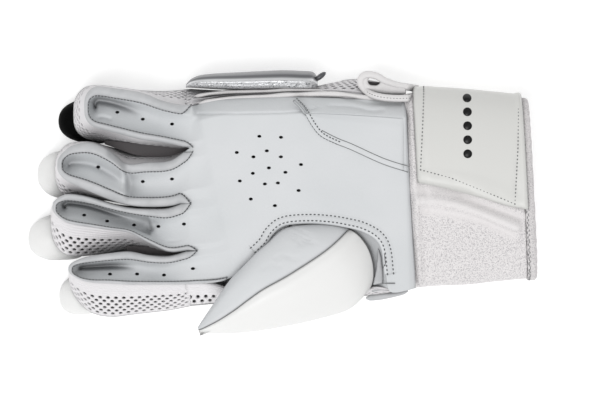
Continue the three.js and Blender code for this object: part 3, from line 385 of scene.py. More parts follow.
def finish(name):
    """The named finish, made once."""
    if name in FINISHES:
        return FINISHES[name]
    if name == "leather":
        f = Finish("Palm leather", (220, 222, 224), 0.62)
        # random tone patches, then painted shade darkening the leather in its troughs, creases and folds
        f.tint(f.ramp(f.noise(26, 2), 0.35, 0.75), (213, 216, 218)).paint_crevice_shade(0.65, 0.009)
        f.bump(f.cells(1500), 0.12, 0.0004).bump(f.noise(60, 3, 1.0), 0.25, 0.0008)
    elif name == "rim":
        f = Finish("Rolled leather", (200, 201, 203), 0.55)
        # random tone patches, then painted shade darkening the rims in their creases
        f.tint(f.ramp(f.noise(140, 3), 0.4, 0.75), (186, 188, 190)).paint_crevice_shade(0.8, 0.007)
        f.bump(f.noise(260, 3, 1.5), 0.35, 0.0006)
    elif name == "seam":
        f = Finish("Seam shade", (120, 121, 122), 0.8)
        f.bump(f.noise(900, 2), 0.2, 0.0003)
    elif name == "knit":
        f = Finish("White knit", (236, 234, 236), 0.85, sheen=0.2)
        # painted shade darkens the knit in the gaps between fingers and under rims
        f.paint_crevice_shade(0.9)
        ribs = f.math("SINE", f.math("MULTIPLY", f.attribute("across"), value=2 * math.pi / 1.3))
        wales = f.math("SINE", f.math("MULTIPLY", f.attribute("along"), value=2 * math.pi / 0.8))
        f.bump(f.math("MULTIPLY", ribs, f.attribute("ribbed")), 0.3, 0.0005)
        f.bump(wales, 0.15, 0.0003)
    elif name == "inside":
        # dark grey that paints the shade inside the hollow glove, on inner faces and on shade sheets
        f = Finish("Painted shade inside the knit", (84, 81, 82), 0.9)
        f.bump(f.noise(700, 2), 0.2, 0.0004)
    elif name == "padding":
        f = Finish("White padding cover", (243, 243, 242), 0.45)
        # painted shade greys the padding where it meets walls and neighbouring rolls
        f.paint_crevice_shade(0.8, 0.024)
        f.bump(f.noise(90, 3, 0.6), 0.18, 0.0008)
    elif name == "black":
        f = Finish("Black padding cover", (2, 2, 2), 0.75)
        f.shader.inputs["Specular IOR Level"].default_value = 0.08
        f.bump(f.noise(120, 3), 0.2, 0.0006)
    elif name == "silver":
        f = Finish("Silver cover", (98, 99, 102), 0.35, metallic=0.45)
        rough = f.attribute("crinkle")
        # painted reflections: painted_shine lifts the dark base to a bright highlight band and a lighter crinkled
        # lower part
        f.tint(f.attribute("painted_shine"), (240, 241, 243))
        # painted glints and painted shade on the crinkled part: dark and bright speckles
        f.tint(f.math("MULTIPLY", f.ramp(f.noise(900, 3, 1.0), 0.54, 0.62), rough), (140, 142, 145))
        f.tint(f.math("MULTIPLY", f.ramp(f.noise(1300, 2, 0.5), 0.58, 0.66), rough), (250, 250, 252))
        f.bump(f.math("MULTIPLY", f.noise(480, 4, 1.0), rough), 0.5, 0.001)
        f.bump(f.noise(50, 2), 0.1, 0.0006)
    elif name == "towelling":
        f = Finish("Towelling", (238, 235, 235), 0.95, sheen=0.3)
        rough = f.attribute("looped")
        specks = f.math("MULTIPLY", f.ramp(f.noise(1650, 2, 0.4), 0.46, 0.66), rough)
        # specks, then painted shade darkening the towelling in its folds and gaps
        f.tint(specks, (190, 187, 189)).paint_crevice_shade(0.45, 0.004)
        f.bump(f.math("MULTIPLY", f.cells(1100), rough), 0.3, 0.0007)
        f.bump(f.noise(80, 2), 0.15, 0.0008)
    elif name == "strap":
        f = Finish("Smooth strap", (222, 222, 219), 0.38)
        # painted shade darkens the strap in its folds and at its edges
        f.paint_crevice_shade(0.5, 0.004)
        f.bump(f.noise(40, 2), 0.12, 0.0006)
    elif name == "backing":
        f = Finish("Woven backing", (216, 216, 216), 0.85)
        # painted shade darkens the backing where it lies deep between the fingers
        f.paint_crevice_shade(0.95, 0.03)
        f.bump(f.cells(1100), 0.4, 0.0005)
    elif name == "hem":
        f = Finish("Hem", (233, 231, 231), 0.9, sheen=0.3)
        # painted shade darkens the hems where they tuck under other parts
        f.paint_crevice_shade(0.9, 0.008)
        f.bump(f.noise(600, 3, 0.6), 0.5, 0.0008)
    elif name == "edging":
        f = Finish("Edge towelling", (226, 223, 223), 0.95, sheen=0.2)
        # specks, then painted shade darkening the edge band in its folds
        f.tint(f.ramp(f.noise(1650, 2, 0.4), 0.46, 0.68), (184, 181, 183)).paint_crevice_shade(0.5, 0.005)
        f.bump(f.cells(1100), 0.35, 0.0007)
    elif name == "thread":
        # the dark grey is partly the thread's own colour and partly painted shade of the needle holes along the stitch
        # rows
        f = Finish("Thread with painted hole shade", (84, 85, 87), 0.8)
        f.bump(f.noise(2500, 2), 0.3, 0.0001)
    elif name == "mark":
        f = Finish("Black print", (10, 10, 11), 0.4)
        f.bump(f.noise(90, 2), 0.1, 0.0003)
    else:
        raise ValueError(f"there is no finish {name}")
    FINISHES[name] = f.material
    return f.material


# Meshes
def make_object(name, points, faces, finish_name, attributes=None, merge=False, shade=True):
    name = name.replace(" ", "_")
    mesh = bpy.data.meshes.new(name)
    points = (np.asarray(points, float).reshape(-1, 3) + SHIFT) / 1000
    mesh.from_pydata(points.tolist(), [], faces)
    for key, values in (attributes or {}).items():
        mesh.attributes.new(key, "FLOAT", "POINT").data.foreach_set("value", np.asarray(values, np.float32).ravel())
    if merge:
        bm = bmesh.new()
        bm.from_mesh(mesh)
        bmesh.ops.remove_doubles(bm, verts=bm.verts, dist=1e-5)
        bm.to_mesh(mesh)
        bm.free()
    mesh.validate()
    if shade:
        mesh.shade_smooth()
    obj = bpy.data.objects.new(name, mesh)
    bpy.context.scene.collection.objects.link(obj)
    mesh.materials.append(finish(finish_name))
    return obj


def grid_faces(rows, columns, start=0, flip=False, round_rows=False, round_columns=False):
    """Quads of a grid of points."""
    faces = []
    for r in range(rows if round_rows else rows - 1):
        for c in range(columns if round_columns else columns - 1):
            a, b = start + r * columns + c, start + r * columns + (c + 1) % columns
            d, e = start + (r + 1) % rows * columns + c, start + (r + 1) % rows * columns + (c + 1) % columns
            faces.append((a, b, e, d) if flip else (a, d, e, b))
    return faces


def thicken(obj, thickness, inner=None, offset=-1.0):
    solid = obj.modifiers.new("Thickness", "SOLIDIFY")
    solid.thickness, solid.offset = thickness / 1000, offset
    if inner:
        obj.data.materials.append(finish(inner))
        solid.material_offset = 1
    return obj


def settle(obj):
    """Applies the modifiers."""
    bpy.context.view_layer.update()
    evaluated = obj.evaluated_get(bpy.context.evaluated_depsgraph_get())
    mesh = bpy.data.meshes.new_from_object(evaluated)
    obj.modifiers.clear()
    obj.data = mesh
    return obj


def place(obj, slot_name, *nodes):
    """Rides on the frame and stands for its nodes."""
    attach(obj, "root")
    if nodes:
        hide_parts(*nodes)
    return obj


def turn_out(obj):
    """Turns the faces of a closed body outward."""
    bm = bmesh.new()
    bm.from_mesh(obj.data)
    bmesh.ops.recalc_face_normals(bm, faces=bm.faces)
    bm.to_mesh(obj.data)
    bm.free()
    return obj


def turn_up(obj):
    """Turns a sheet's faces upward."""
    if obj.data.polygons[0].normal.z < 0:
        obj.data.flip_normals()


def turn_from(obj, centre, number):
    """Turns a sheet's faces away from a point in millimetres, judged by one face."""
    face = obj.data.polygons[number]
    if face.normal.dot(face.center - Vector(centre + SHIFT) / 1000) < 0:
        obj.data.flip_normals()


def rows_mesh(name, rings, finish_name, **options):
    """A closed body through rings of points, with its ends filled."""
    rings = np.asarray(rings)
    n, m = rings.shape[:2]
    faces = grid_faces(n, m, round_columns=True)
    faces += [tuple(range(m)), tuple(range((n - 1) * m, n * m))[::-1]]
    return turn_out(make_object(name, rings, faces, finish_name, **options))


def tube(name, path, level, wide, high, finish_name, sides=16, uneven=0.0, across=(0.0, 1.0)):
    """A soft roll along a plan path: its levels, how far it reaches to each side and up and down."""
    angles = round_angles(sides)[None, :]
    level, wide, high = (np.broadcast_to(value, len(path))[:, None] for value in (level, wide, high))
    across = np.broadcast_to(across, path.shape)
    out = wide * np.cos(angles) * (1 + uneven * ripple(path[:, :1], angles, 5))
    plan = [path[:, k:k + 1] + out * across[:, k:k + 1] for k in (0, 1)]
    return rows_mesh(name, np.stack([*plan, level + high * np.sin(angles)], -1), finish_name)


def stitches(name, paths, pitch, length, radius, finish_name="thread", slot_name="rim_leather"):
    """Short threads along paths, joined in one mesh."""
    sides, rings = 6, [(-0.5, 0.35), (-0.32, 1.0), (0.32, 1.0), (0.5, 0.35)]
    points, faces = [], []
    turn = round_angles(sides)
    for path in paths:
        middles = resample(np.asarray(path, float), pitch=pitch)
        ahead = np.gradient(middles, axis=0)
        ahead /= np.linalg.norm(ahead, axis=1)[:, None]
        side = np.cross(ahead, [0, 0, 1.0])
        side /= np.maximum(np.linalg.norm(side, axis=1), 1e-9)[:, None]
        up = np.cross(side, ahead)
        for m, t, s, u in zip(middles, ahead, side, up):
            start = len(points)
            for along, wide in rings:
                for angle in turn:
                    points.append(m + t * along * length + (s * np.cos(angle) + u * np.sin(angle)) * radius * wide)
            faces += grid_faces(len(rings), sides, start, round_columns=True)
            faces += [tuple(range(start, start + sides)), tuple(range(start + 3 * sides, start + 4 * sides))[::-1]]
    return place(make_object(name, points, faces, finish_name), slot_name)


# Finger surfaces
def tip_start(f):
    return 1 - 0.3 * f["width"] / f["length"]


def side_at(f, at0, angle, v, ulnar, radial):
    share = 0.25 + 0.75 * np.abs(v)
    at = at0 + (1 - tip_start(f)) * share * np.sin(angle)
    row = read(f["rows"], at)
    a, b = row[..., ulnar], row[..., radial]
    half = (a - b) / 2 * np.maximum(np.cos(angle), 0) ** 0.62
    return -at * f["length"], f["middle"] * PALM_WIDTH + f["width"] * ((a + b) / 2 + v * half), at, row


def folded(x, y):
    """How far the sewn and pressed folds lower the leather."""
    depth = np.zeros(np.shape(x))
    for line, deep, right, left in FOLDS:
        path = spot(smooth_line(line, 16))
        order = np.argsort(path[:, 1])
        beside = ease(np.interp(y, path[order, 1], path[order, 0]) - x, -0.5, 0.5) * ease(path[:, 1].max() - y, -1, 6)
        wide = right + (left - right) * beside
        depth += deep * np.exp(-((away(x, y, path) / wide) ** 2))
    return depth


def rim_share(f, angle, sign):
    """Where the rim's inner edge lies, from the middle of a finger front to its side."""
    ulnar, radial = f["rim"]
    mean = (ulnar + radial) / 2
    return mean + (np.where(np.asarray(sign) >= 0, ulnar, radial) - mean) * np.cos(angle)


def front(f, at0, angle, v):
    """The leather of a finger front, with its trough."""
    x, y, at, row = side_at(f, at0, angle, v, 0, 1)
    rise, sag = row[..., 4], row[..., 5]
    tip = ease(at, 0.25, 0.8)
    straight = np.cos(angle)
    lean = f["lean"] * tip * straight
    rim = rim_share(f, angle, v - lean)
    k = np.where(v > lean, (v - lean) / (rim - lean), (lean - v) / (rim + lean))
    power = np.where(v > lean, 2.4, 2.4 - (0.4 + 0.5 * tip) * straight)
    hollow = sag * FINGER_DEPTH * f["deeper"] * (1 - np.clip(k, 0, 1) ** power)
    hollow += f["pocket"] * ease(at, 0.42, 0.72) * np.exp(-(((v - lean - 0.04 * straight) / 0.16) ** 2))
    rim = rim_share(f, angle, v)
    drop = EDGE_DROP * np.clip((np.abs(v) - rim) / (1 - rim), 0, 1)
    z = HOLLOW_FLOOR + FINGER_DEPTH * rise - hollow - drop
    if f["name"] == "ring":
        crest = 0.475 + 0.05 * np.maximum(v, 0) ** 2 + 0.4 * np.maximum(v - 0.78, 0)
        far = at - crest
        lift = np.where(far > 0, 6.0 * np.exp(-far / 0.16), -3.6 * np.exp(far / 0.09))
        z += lift * ease(v, -0.75, -0.45) * (1 - 0.6 * ease(v, 0.6, 1.0)) * ease(np.abs(far), -0.01, 0.03)
    return np.stack([x, y, z], -1)


def back(f, at0, angle, v):
    x, y, _, _ = side_at(f, at0, angle, v, 2, 3)
    x = x * (1 + (f["reach"] - 1) * np.minimum(1, -x / f["length"]))
    return np.stack([x, y, np.full(np.shape(x), BACK_TOP)], -1)


def stations(f, along, round_tip):
    start = tip_start(f)
    at0 = np.r_[np.linspace(0, start, along), np.full(round_tip, start)]
    return at0, np.r_[np.zeros(along), np.linspace(0, np.pi / 2, round_tip + 1)[1:]]


def around(f, place_of, inner=False, along=60, round_tip=20):
    """The path up a finger's ulnar side, round the tip and back, at the rim's outer or inner edge."""
    at0, angle = stations(f, along, round_tip)
    share = [rim_share(f, angle, sign) if inner else np.ones(len(at0)) for sign in (1, -1)]
    there = place_of(f, at0, angle, share[0])
    return np.r_[there, place_of(f, at0, angle, -share[1])[-2::-1]]


def hand_sheet(name, finish_name, finger_place, palm_place, across, along, tip, rows):
    """Four finger strips and the palm, sewn to one sheet."""
    points, faces, root = [], [], []
    count = 0
    v = np.linspace(1, -1, across)
    for f in FINGERS:
        at0, angle = stations(f, along, tip)
        strip = finger_place(f, at0[:, None], angle[:, None], v[None, :] + 0 * at0[:, None])
        faces += grid_faces(len(at0), across, count)
        points.append(strip.reshape(-1, 3))
        count += strip.size // 3
        root.append(strip[0] if f is FINGERS[0] else strip[0][1:])
    root = np.concatenate(root)
    palm = palm_place(np.linspace(0, 1, rows)[:, None], root)
    faces += grid_faces(rows, len(root), count, flip=True)
    points.append(palm.reshape(-1, 3))
    return make_object(name, np.concatenate(points), faces, finish_name, merge=True)


def palm_leather_place(share, root):
    w = (root[0, 1] - root[:, 1]) / (root[0, 1] - root[-1, 1])
    ulnar, radial = edge(PALM_ULNAR, share[:, 0]), edge(PALM_RADIAL, share[:, 0])
    plan = ulnar[:, None, :] * (1 - w[None, :, None]) + radial[:, None, :] * w[None, :, None]
    x, y = plan[..., 0], plan[..., 1]
    far = ulnar[:, None, 1] - y
    turned = TURN_DOWN * np.maximum(0, 1 - far / TURN_WIDTH) ** 1.1 * ease(share, 0.0, 0.07)
    z = palm_top(x) - turned - folded(x, y) * ease(share, 0, 0.02) + grain(x, y) * ease(share, 0, 0.1)
    z -= 2.2 * ease(share, 0.972, 1.0) ** 2
    joined = 1 - ease(share, 0, 0.10)
    z = z * (1 - joined) + root[None, :, 2] * joined
    return np.stack([x, y, z], -1)


def add_leather():
    props = bpy.context.scene.glove
    leather = hand_sheet("Palm leather", "leather",
                         lambda f, a, g, v: front(f, a, g, v) - fold_of(f, a, g, v),
                         palm_leather_place, 41, 72, 18, 110)
    # inner faces take the dark inside finish: painted shade of the hollow, seen through the vents
    thicken(leather, 1.3, "inside")
    points, faces = [], []
    turn = round_angles(12)
    for x, y in spot(VENTS):
        start = len(points)
        for z in (25.0, 64.0):
            wide = props.vent * 500
            points += [(x + 1.15 * wide * math.cos(a), y + 0.85 * wide * math.sin(a), z) for a in turn]
        faces += grid_faces(2, 12, start, round_columns=True)
        faces += [tuple(range(start, start + 12)), tuple(range(start + 12, start + 24))[::-1]]
    cutter = turn_out(make_object("Vent cutter", points, faces, "leather", shade=False))
    cut = leather.modifiers.new("Vents", "BOOLEAN")
    cut.operation, cut.object, cut.solver = "DIFFERENCE", cutter, "EXACT"
    settle(leather)
    bpy.data.objects.remove(cutter)
    place(leather, "palm_leather", "palm_leather")


def fold_of(f, at0, angle, v):
    p = front(f, at0, angle, v)
    lower = np.zeros(p.shape)
    lower[..., 2] = folded(p[..., 0], p[..., 1]) * ease(0.6 - np.abs(v), 0, 0.1)
    return lower


def trimmed(path, first, last):
    """Cuts a rim path back where its ends come to a point before the crotch line."""
    half = len(path) // 2
    limit = np.r_[np.full(half, first), np.full(len(path) - half, last)]
    return np.minimum(path[:, 0], limit) == path[:, 0]


def rim_end(outer, inner, reach, keep, count=9):
    """Draws a rim out past the crotch line. keep is 1 for a side that runs on and 0 for one that comes to a point."""
    t = np.linspace(0, 1, count + 1)[1:]
    x = outer[0] + (reach - outer[0]) * t
    close = (1 - keep) * t**1.6 + keep * 0.35 * t
    drift = keep * (read(PALM_RADIAL[:3], x / PALM_LENGTH)[:, 0] - PALM_RADIAL[0][1]) * PALM_WIDTH
    top = palm_top(np.maximum(x, 0))
    lower = lambda z0: z0 + (top - z0) * ease(t, 0, 0.8)
    out = np.c_[x, outer[1] + drift, lower(outer[2])]
    into = np.c_[x, inner[1] + (outer[1] - inner[1]) * close + drift, lower(inner[2])]
    return out, into, 1 - (1 - 0.5 * keep) * t


def add_rims():
    props = bpy.context.scene.glove
    paths = []
    for f in FINGERS:
        outer = inset(around(f, front), -0.2)
        inner = around(f, front, True)
        kept = trimmed(outer, *(min(0.0, end - 4.6) for end in f["ends"]))
        outer, inner = outer[kept], inner[kept]
        first = rim_end(outer[0], inner[0], f["ends"][0], 0)
        last = rim_end(outer[-1], inner[-1], f["ends"][1], *((1.0, 20) if f["name"] == "index" else (0,)))
        size = np.r_[first[2][::-1], np.ones(len(outer)), last[2]]
        outer = np.r_[first[0][::-1], outer, last[0]]
        inner = np.r_[first[1][::-1], inner, last[1]]
        turn = np.linspace(0, np.pi, 13)
        rings = []
        for o, n, share in zip(outer, inner, size):
            middle, half = (o + n) / 2, (o - n) / 2
            swell = props.rim_rise * 1000 * (0.25 + 0.75 * share) * (1 + 0.1 * ripple(middle[0], middle[1], 6))
            ring = [middle + half * 1.04 * np.cos(a) + [0, 0, SEAT + swell * np.sin(a) ** 0.75 - 0.5] for a in turn]
            ring += [n + [0, 0, -0.5], middle + [0, 0, -0.5], o + [0, 0, -0.5]]
            rings.append(ring)
        rim = rows_mesh(f"Finger rim {f['name']}", rings, "rim")
        place(rim, "rim_leather", f"finger_rim_{f['name']}")
        seam = inner + (inner - outer) * 0.05 + [0, 0, 0.7]
        paths.append(resample(seam, pitch=0.8))
    stitches("Finger rim stitches", paths, props.stitch * 1000 * 0.8, 1.3, 0.24)


def wall_surface(upper, lower, bulge):
    """A surface between two paths: u along them in millimetres and v from the upper to the lower."""
    n = 240
    lengths = np.r_[0, np.cumsum(np.linalg.norm(np.diff((upper + lower) / 2, axis=0), axis=1))]
    total = lengths[-1]
    places = np.linspace(0, total, n)
    up = np.stack([np.interp(places, lengths, upper[:, k]) for k in range(3)], 1)
    down = np.stack([np.interp(places, lengths, lower[:, k]) for k in range(3)], 1)
    out = inset((up + down) / 2, -1.0) - (up + down) / 2

    def surface(u, v):
        i = np.clip(u, 0, total)
        pick = lambda table: np.stack([np.interp(i, places, table[:, k]) for k in range(3)], -1)
        near = np.minimum(1, np.minimum(i, total - i) / 6)
        swell = bulge * 4 * v * (1 - v) * near
        return pick(up) * (1 - v)[..., None] + pick(down) * v[..., None] + pick(out) * swell[..., None]

    return surface, total, float(np.median(np.linalg.norm(up - down, axis=1)))


def knit_wall(name, node, upper, lower, ribs=0.36, bulge=0.9, last=0.95, folds=()):
    """An open-knit wall: a ribbed upper band, then staggered holes."""
    props = bpy.context.scene.glove
    surface, total, height = wall_surface(upper, lower, bulge)
    columns = max(4, round(total / (props.knit_pitch * 1000)))
    pitch = total / columns
    rows = max(2, round(height * (last - ribs) / 2.05))
    keys, uv, faces = {}, [], []

    def point(i, v):
        key = (round(i * 8), round(v * 10000))
        if key not in keys:
            keys[key] = len(uv)
            uv.append((min(max(i, 0), 2 * columns) * pitch / 2, v))
        return keys[key]

    bands = np.linspace(0, ribs, 13 if folds else 7)
    for v0, v1 in list(zip(bands, bands[1:])) + [(last, 1.0)]:
        for i in range(2 * columns):
            faces.append((point(i, v0), point(i, v1), point(i + 1, v1), point(i + 1, v0)))
    step = (last - ribs) / rows
    octagon = [(-0.5, -0.42), (0, -0.62), (0.5, -0.42), (0.68, 0), (0.5, 0.42), (0, 0.62), (-0.5, 0.42), (-0.68, 0)]
    for r in range(rows):
        v0, v1 = ribs + r * step, ribs + (r + 1) * step
        if r % 2:
            for i in (0, 2 * columns - 1):
                faces.append((point(i, v0), point(i, v1), point(i + 1, v1), point(i + 1, v0)))
        for c in range(columns - (r % 2)):
            i0 = 2 * c + (r % 2)
            outer = [point(i0, v0), point(i0 + 1, v0), point(i0 + 2, v0), point(i0 + 2, (v0 + v1) / 2),
                     point(i0 + 2, v1), point(i0 + 1, v1), point(i0, v1), point(i0, (v0 + v1) / 2)]
            hole = []
            for a, b in octagon:
                hole.append(point(i0 + 1 + a * 0.74, (v0 + v1) / 2 + b * step * 0.74))
            for k in range(8):
                faces.append((outer[k], hole[k], hole[(k + 1) % 8], outer[(k + 1) % 8]))
    uv = np.array(uv)
    points = surface(uv[:, 0], uv[:, 1])
    for at, rise, wide in folds:
        points[:, 2] += rise * np.exp(-(((uv[:, 1] - at) / wide) ** 2)) * ease(uv[:, 0], 0, 8)
    wall = make_object(name, points, faces, "knit", attributes={
        "across": uv[:, 1] * height, "along": uv[:, 0], "ribbed": 1 - ease(uv[:, 1], ribs, ribs + 0.05)})
    # inner faces take the dark inside finish: painted shade inside the hollow fingers and hand
    thicken(wall, 1.1, "inside")
    place(wall, "knit", node)
    return wall


def add_walls():
    for f in FINGERS:
        upper = inset(around(f, front), 0.3) - [0, 0, 1.2]
        lower = inset(around(f, back), 0.3) + [0, 0, GAP]
        knit_wall(f"Finger wall {f['name']}", f"finger_wall_{f['name']}", upper, lower)
    share = np.linspace(0.99, 0.0, 120)
    up, down = edge(PALM_ULNAR, share), edge(BACK_ULNAR, share)
    upper = inset(np.c_[up, palm_top(up[:, 0]) - TURN_DOWN * ease(share, 0, 0.09) - 1.0], 0.2)
    lower = inset(np.c_[down, np.full(120, HOLLOW_FLOOR)], 0.3)
    upper, lower = (np.r_[path, [path[-1] - [2.5, 0.3, 0]]] for path in (upper, lower))
    knit_wall("Ulnar wall", "ulnar_wall", upper, lower, ribs=0.34, bulge=1.6,
              folds=((0.1, 2.2, 0.06), (0.28, 1.6, 0.06)))
    rows = np.array(RADIAL_WALL)
    plan = curve(rows, np.linspace(0, 1, 80))
    level = HOLLOW_FLOOR + plan[:, 2] * HAND_DEPTH
    upper = inset(np.c_[plan[:, 0] * PALM_LENGTH, plan[:, 1] * PALM_WIDTH, level], 0.4)
    side = read(BACK_RADIAL, plan[:, 0])[:, 0]
    lower = inset(np.c_[plan[:, 0] * PALM_LENGTH, side * PALM_WIDTH, np.full(80, HOLLOW_FLOOR)], 0.6)
    knit_wall("Radial wall", "radial_wall", upper, lower, ribs=0.5, bulge=0.4)


def add_back():
    def palm(share, root):
        w = (root[0, 1] - root[:, 1]) / (root[0, 1] - root[-1, 1])
        ulnar, radial = edge(BACK_ULNAR, share[:, 0]), edge(BACK_RADIAL, share[:, 0])
        plan = ulnar[:, None, :] * (1 - w[None, :, None]) + radial[:, None, :] * w[None, :, None]
        return np.concatenate([plan, np.full(plan.shape[:2] + (1,), BACK_TOP)], -1)

    panel = hand_sheet("Back panel", "backing", back, palm, 9, 16, 8, 30)
    thicken(panel, BACKING)
    place(panel, "backing", "back_panel")


def inflate(pieces):
    """Blows each cover up a little from inside, as foam fills it, and keeps the change small."""
    start = {}
    for obj in pieces:
        start[obj.name] = np.array([v.co for v in obj.data.vertices])
        cloth = obj.modifiers.new("Cloth", "CLOTH")
        cloth.settings.quality = 5
        cloth.settings.mass = 0.2
        cloth.settings.use_pressure = True
        cloth.settings.uniform_pressure_force = 4
        cloth.settings.tension_stiffness = 20
        cloth.settings.compression_stiffness = 20
        cloth.settings.effector_weights.gravity = 0
        cloth.point_cache.frame_start, cloth.point_cache.frame_end = 1, 20
    for number in range(1, 21):
        bpy.context.scene.frame_set(number)
    graph = bpy.context.evaluated_depsgraph_get()
    for obj in pieces:
        result = obj.evaluated_get(graph).to_mesh()
        moved = np.array([v.co for v in result.vertices])
        step = moved - start[obj.name]
        far = np.linalg.norm(step, axis=1)[:, None]
        step *= np.minimum(1, 0.0009 / np.maximum(far, 1e-9))
        obj.modifiers.clear()
        obj.data.vertices.foreach_set("co", (start[obj.name] + step).ravel())
    bpy.context.scene.frame_set(1)


def add_padding():
    pieces = []
    for node in sorted(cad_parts):
        if not node.startswith(("finger_roll_", "knuckle_roll_", "back_pad_")):
            continue
        black = node == "finger_roll_little_tip"
        obj = bpy.data.objects.new(node.capitalize(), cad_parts[node].data.copy())
        bpy.context.scene.collection.objects.link(obj)
        obj.data.materials.clear()
        remesh = obj.modifiers.new("Remesh", "REMESH")
        remesh.mode, remesh.voxel_size = "VOXEL", 0.002 if "tip" in node else 0.003
        soften = obj.modifiers.new("Soften", "SMOOTH")
        soften.factor, soften.iterations = 0.6, 6
        swell = obj.modifiers.new("Swell", "DISPLACE")
        swell.strength, swell.mid_level = 0.0009 if "tip" in node else 0.0002, 0.0
        settle(obj)
        obj.data.materials.append(finish("black" if black else "padding"))
        obj.data.polygons.foreach_set("material_index", np.zeros(len(obj.data.polygons), int))
        obj.data.shade_smooth()
        pieces.append((obj, node, black))
    inflate([obj for obj, _, _ in pieces])
    for obj, node, black in pieces:
        for vertex in obj.data.vertices:
            vertex.co.z = max(vertex.co.z, 0.0)
        obj.modifiers.new("Subdivision", "SUBSURF").render_levels = 1
        place(obj, "black_padding" if black else "white_padding", node)


def add_side_bar():
    rows, around_it = np.linspace(0, 1, 90), 48
    section = np.array(BAR_SECTION + BAR_SECTION[:1], float)
    rings, crinkle, painted_shine = [], [], []
    for at in rows:
        out, low_share, high_share = read(BAR, at)
        x = BAR_START + at * BAR_LENGTH
        inner = read(BACK_ULNAR, max(0, x / PALM_LENGTH))[0] * PALM_WIDTH + 0.75
        ring = resample(curve(section, np.linspace(0, 1, 160)), around_it + 1)[:-1]
        z = BAR_BOTTOM + BAR_DEPTH * (low_share + (high_share - low_share) * ring[:, 1])
        y = inner + ring[:, 0] * out * BAR_WIDTH
        piping = 0.8 * np.exp(-(((ring[:, 0] - 0.42) / 0.1) ** 2)) * (ring[:, 1] > 0.5) * ease(at, 0.02, 0.2)
        rings.append(np.stack([np.full(around_it, x), y, z + piping], 1))
        crinkle.append(ease(0.44 - ring[:, 0], 0, 0.06) * (ring[:, 1] > 0.3))
        # painted reflections: a bright highlight band, a lighter crinkled lower part and a slight lift at the outer
        # edge, over the darker base
        shine = np.exp(-(((ring[:, 0] - 0.5) / 0.09) ** 2))
        painted_shine.append(np.maximum(shine, 0.72 * (ring[:, 0] < 0.45) + 0.12 * (ring[:, 0] > 0.8)))
    t = np.linspace(0, 1, 12)
    radius = 1.7 * np.sqrt(np.maximum(0.02, 1 - (1.9 * t - 0.95) ** 2))
    tail = tube("Side bar tail", spot(np.c_[315 + 11 * t, 79 - 6.5 * t]), 30, radius, 1.6 * radius, "silver", sides=12)
    place(tail, "silver_cover")
    bar = rows_mesh("Side bar", rings, "silver", attributes={"crinkle": np.array(crinkle), "painted_shine": np.array(painted_shine)})
    place(bar, "silver_cover", "side_bar")


def thumb_ring(row, points_leather=40, points_pad=40):
    """One section of the thumb: the leather from the seam round the left, and the pad round the right."""
    left = np.array([row[0] * PALM_LENGTH, row[1] * PALM_WIDTH])
    along = np.array([row[2] * PALM_LENGTH, row[3] * PALM_WIDTH]) - left
    width = np.linalg.norm(along)
    flat = np.array([[(row[SEAM] if a is None else a) * width, THUMB_DEPTH * (row[p] + (row[q] - row[p]) * mix)]
                     for a, p, q, mix in THUMB_SECTION])

    def lay(order, count):
        line = resample(curve(flat[order], np.linspace(0, 1, 120)), count)
        share = np.clip(line[:, 0] / width, 0, 1)
        under = np.linspace(0, 1, count) > 0.62
        bow = row[BOW] * width * np.sin(np.pi * share) ** 0.6 * np.where(under, 0.6, 1)
        x = left[0] + along[0] * share - along[1] / width * bow
        y = left[1] + along[1] * share + along[0] / width * bow
        return np.stack([x, y, THUMB_FLOOR + line[:, 1]], 1)

    return lay([3, 2, 1, 0, 10, 9, 8], points_leather), lay([3, 4, 5, 6, 7, 8], points_pad)


def add_thumb():
    rows = curve(THUMB, np.linspace(0, 1, 120))
    pairs = [thumb_ring(row) for row in rows]
    leather, pad = np.array([p[0] for p in pairs]), np.array([p[1] for p in pairs])
    count = leather.shape[1]
    across = np.arange(count)[None, :]
    at_seam = np.exp(-((across / 1.6) ** 2))
    for line, deep, wide in WRINKLES:
        leather[..., 2] -= deep * ease(14 - across, 0, 3) * near(leather[..., 0], leather[..., 1], line, wide, 12)
    leather[..., 2] -= 0.9 * at_seam
    pad[..., 2] -= 0.9 * at_seam - 0.9 * np.exp(-(((across - 4) / 2.5) ** 2))
    for name, sheet, thick, finish_name, node in (
            ("Thumb leather", leather, 1.4, "leather", "thumb_leather"),
            ("Thumb pad", pad, 3.0, "padding", "thumb_pad")):
        flip = name == "Thumb leather"
        obj = make_object(name, sheet, grid_faces(len(sheet), count, flip=flip), finish_name)
        thicken(obj, thick)
        place(obj, "palm_leather" if flip else "white_padding", node)
    seam = leather[:, 0] + [0, 0, 0.25]
    stitches("Thumb seam", [seam[3:-2]], 1.1, 1.15, 0.12, "seam")


def wedge(name, node, finish_name, voxel, iterations):
    """A soft copy of a small flat node."""
    obj = bpy.data.objects.new(name.replace(" ", "_"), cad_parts[node].data.copy())
    bpy.context.scene.collection.objects.link(obj)
    obj.data.materials.clear()
    remesh = obj.modifiers.new("Remesh", "REMESH")
    remesh.mode, remesh.voxel_size = "VOXEL", voxel
    soften = obj.modifiers.new("Soften", "SMOOTH")
    soften.factor, soften.iterations = 0.5, iterations
    settle(obj)
    obj.data.materials.clear()
    obj.data.materials.append(finish(finish_name))
    obj.data.shade_smooth()
    return place(obj, "knit", node)


def heading(path):
    """Unit steps along a plan path."""
    step = np.gradient(path, axis=0)
    return step / np.maximum(np.linalg.norm(step, axis=1), 1e-9)[:, None]


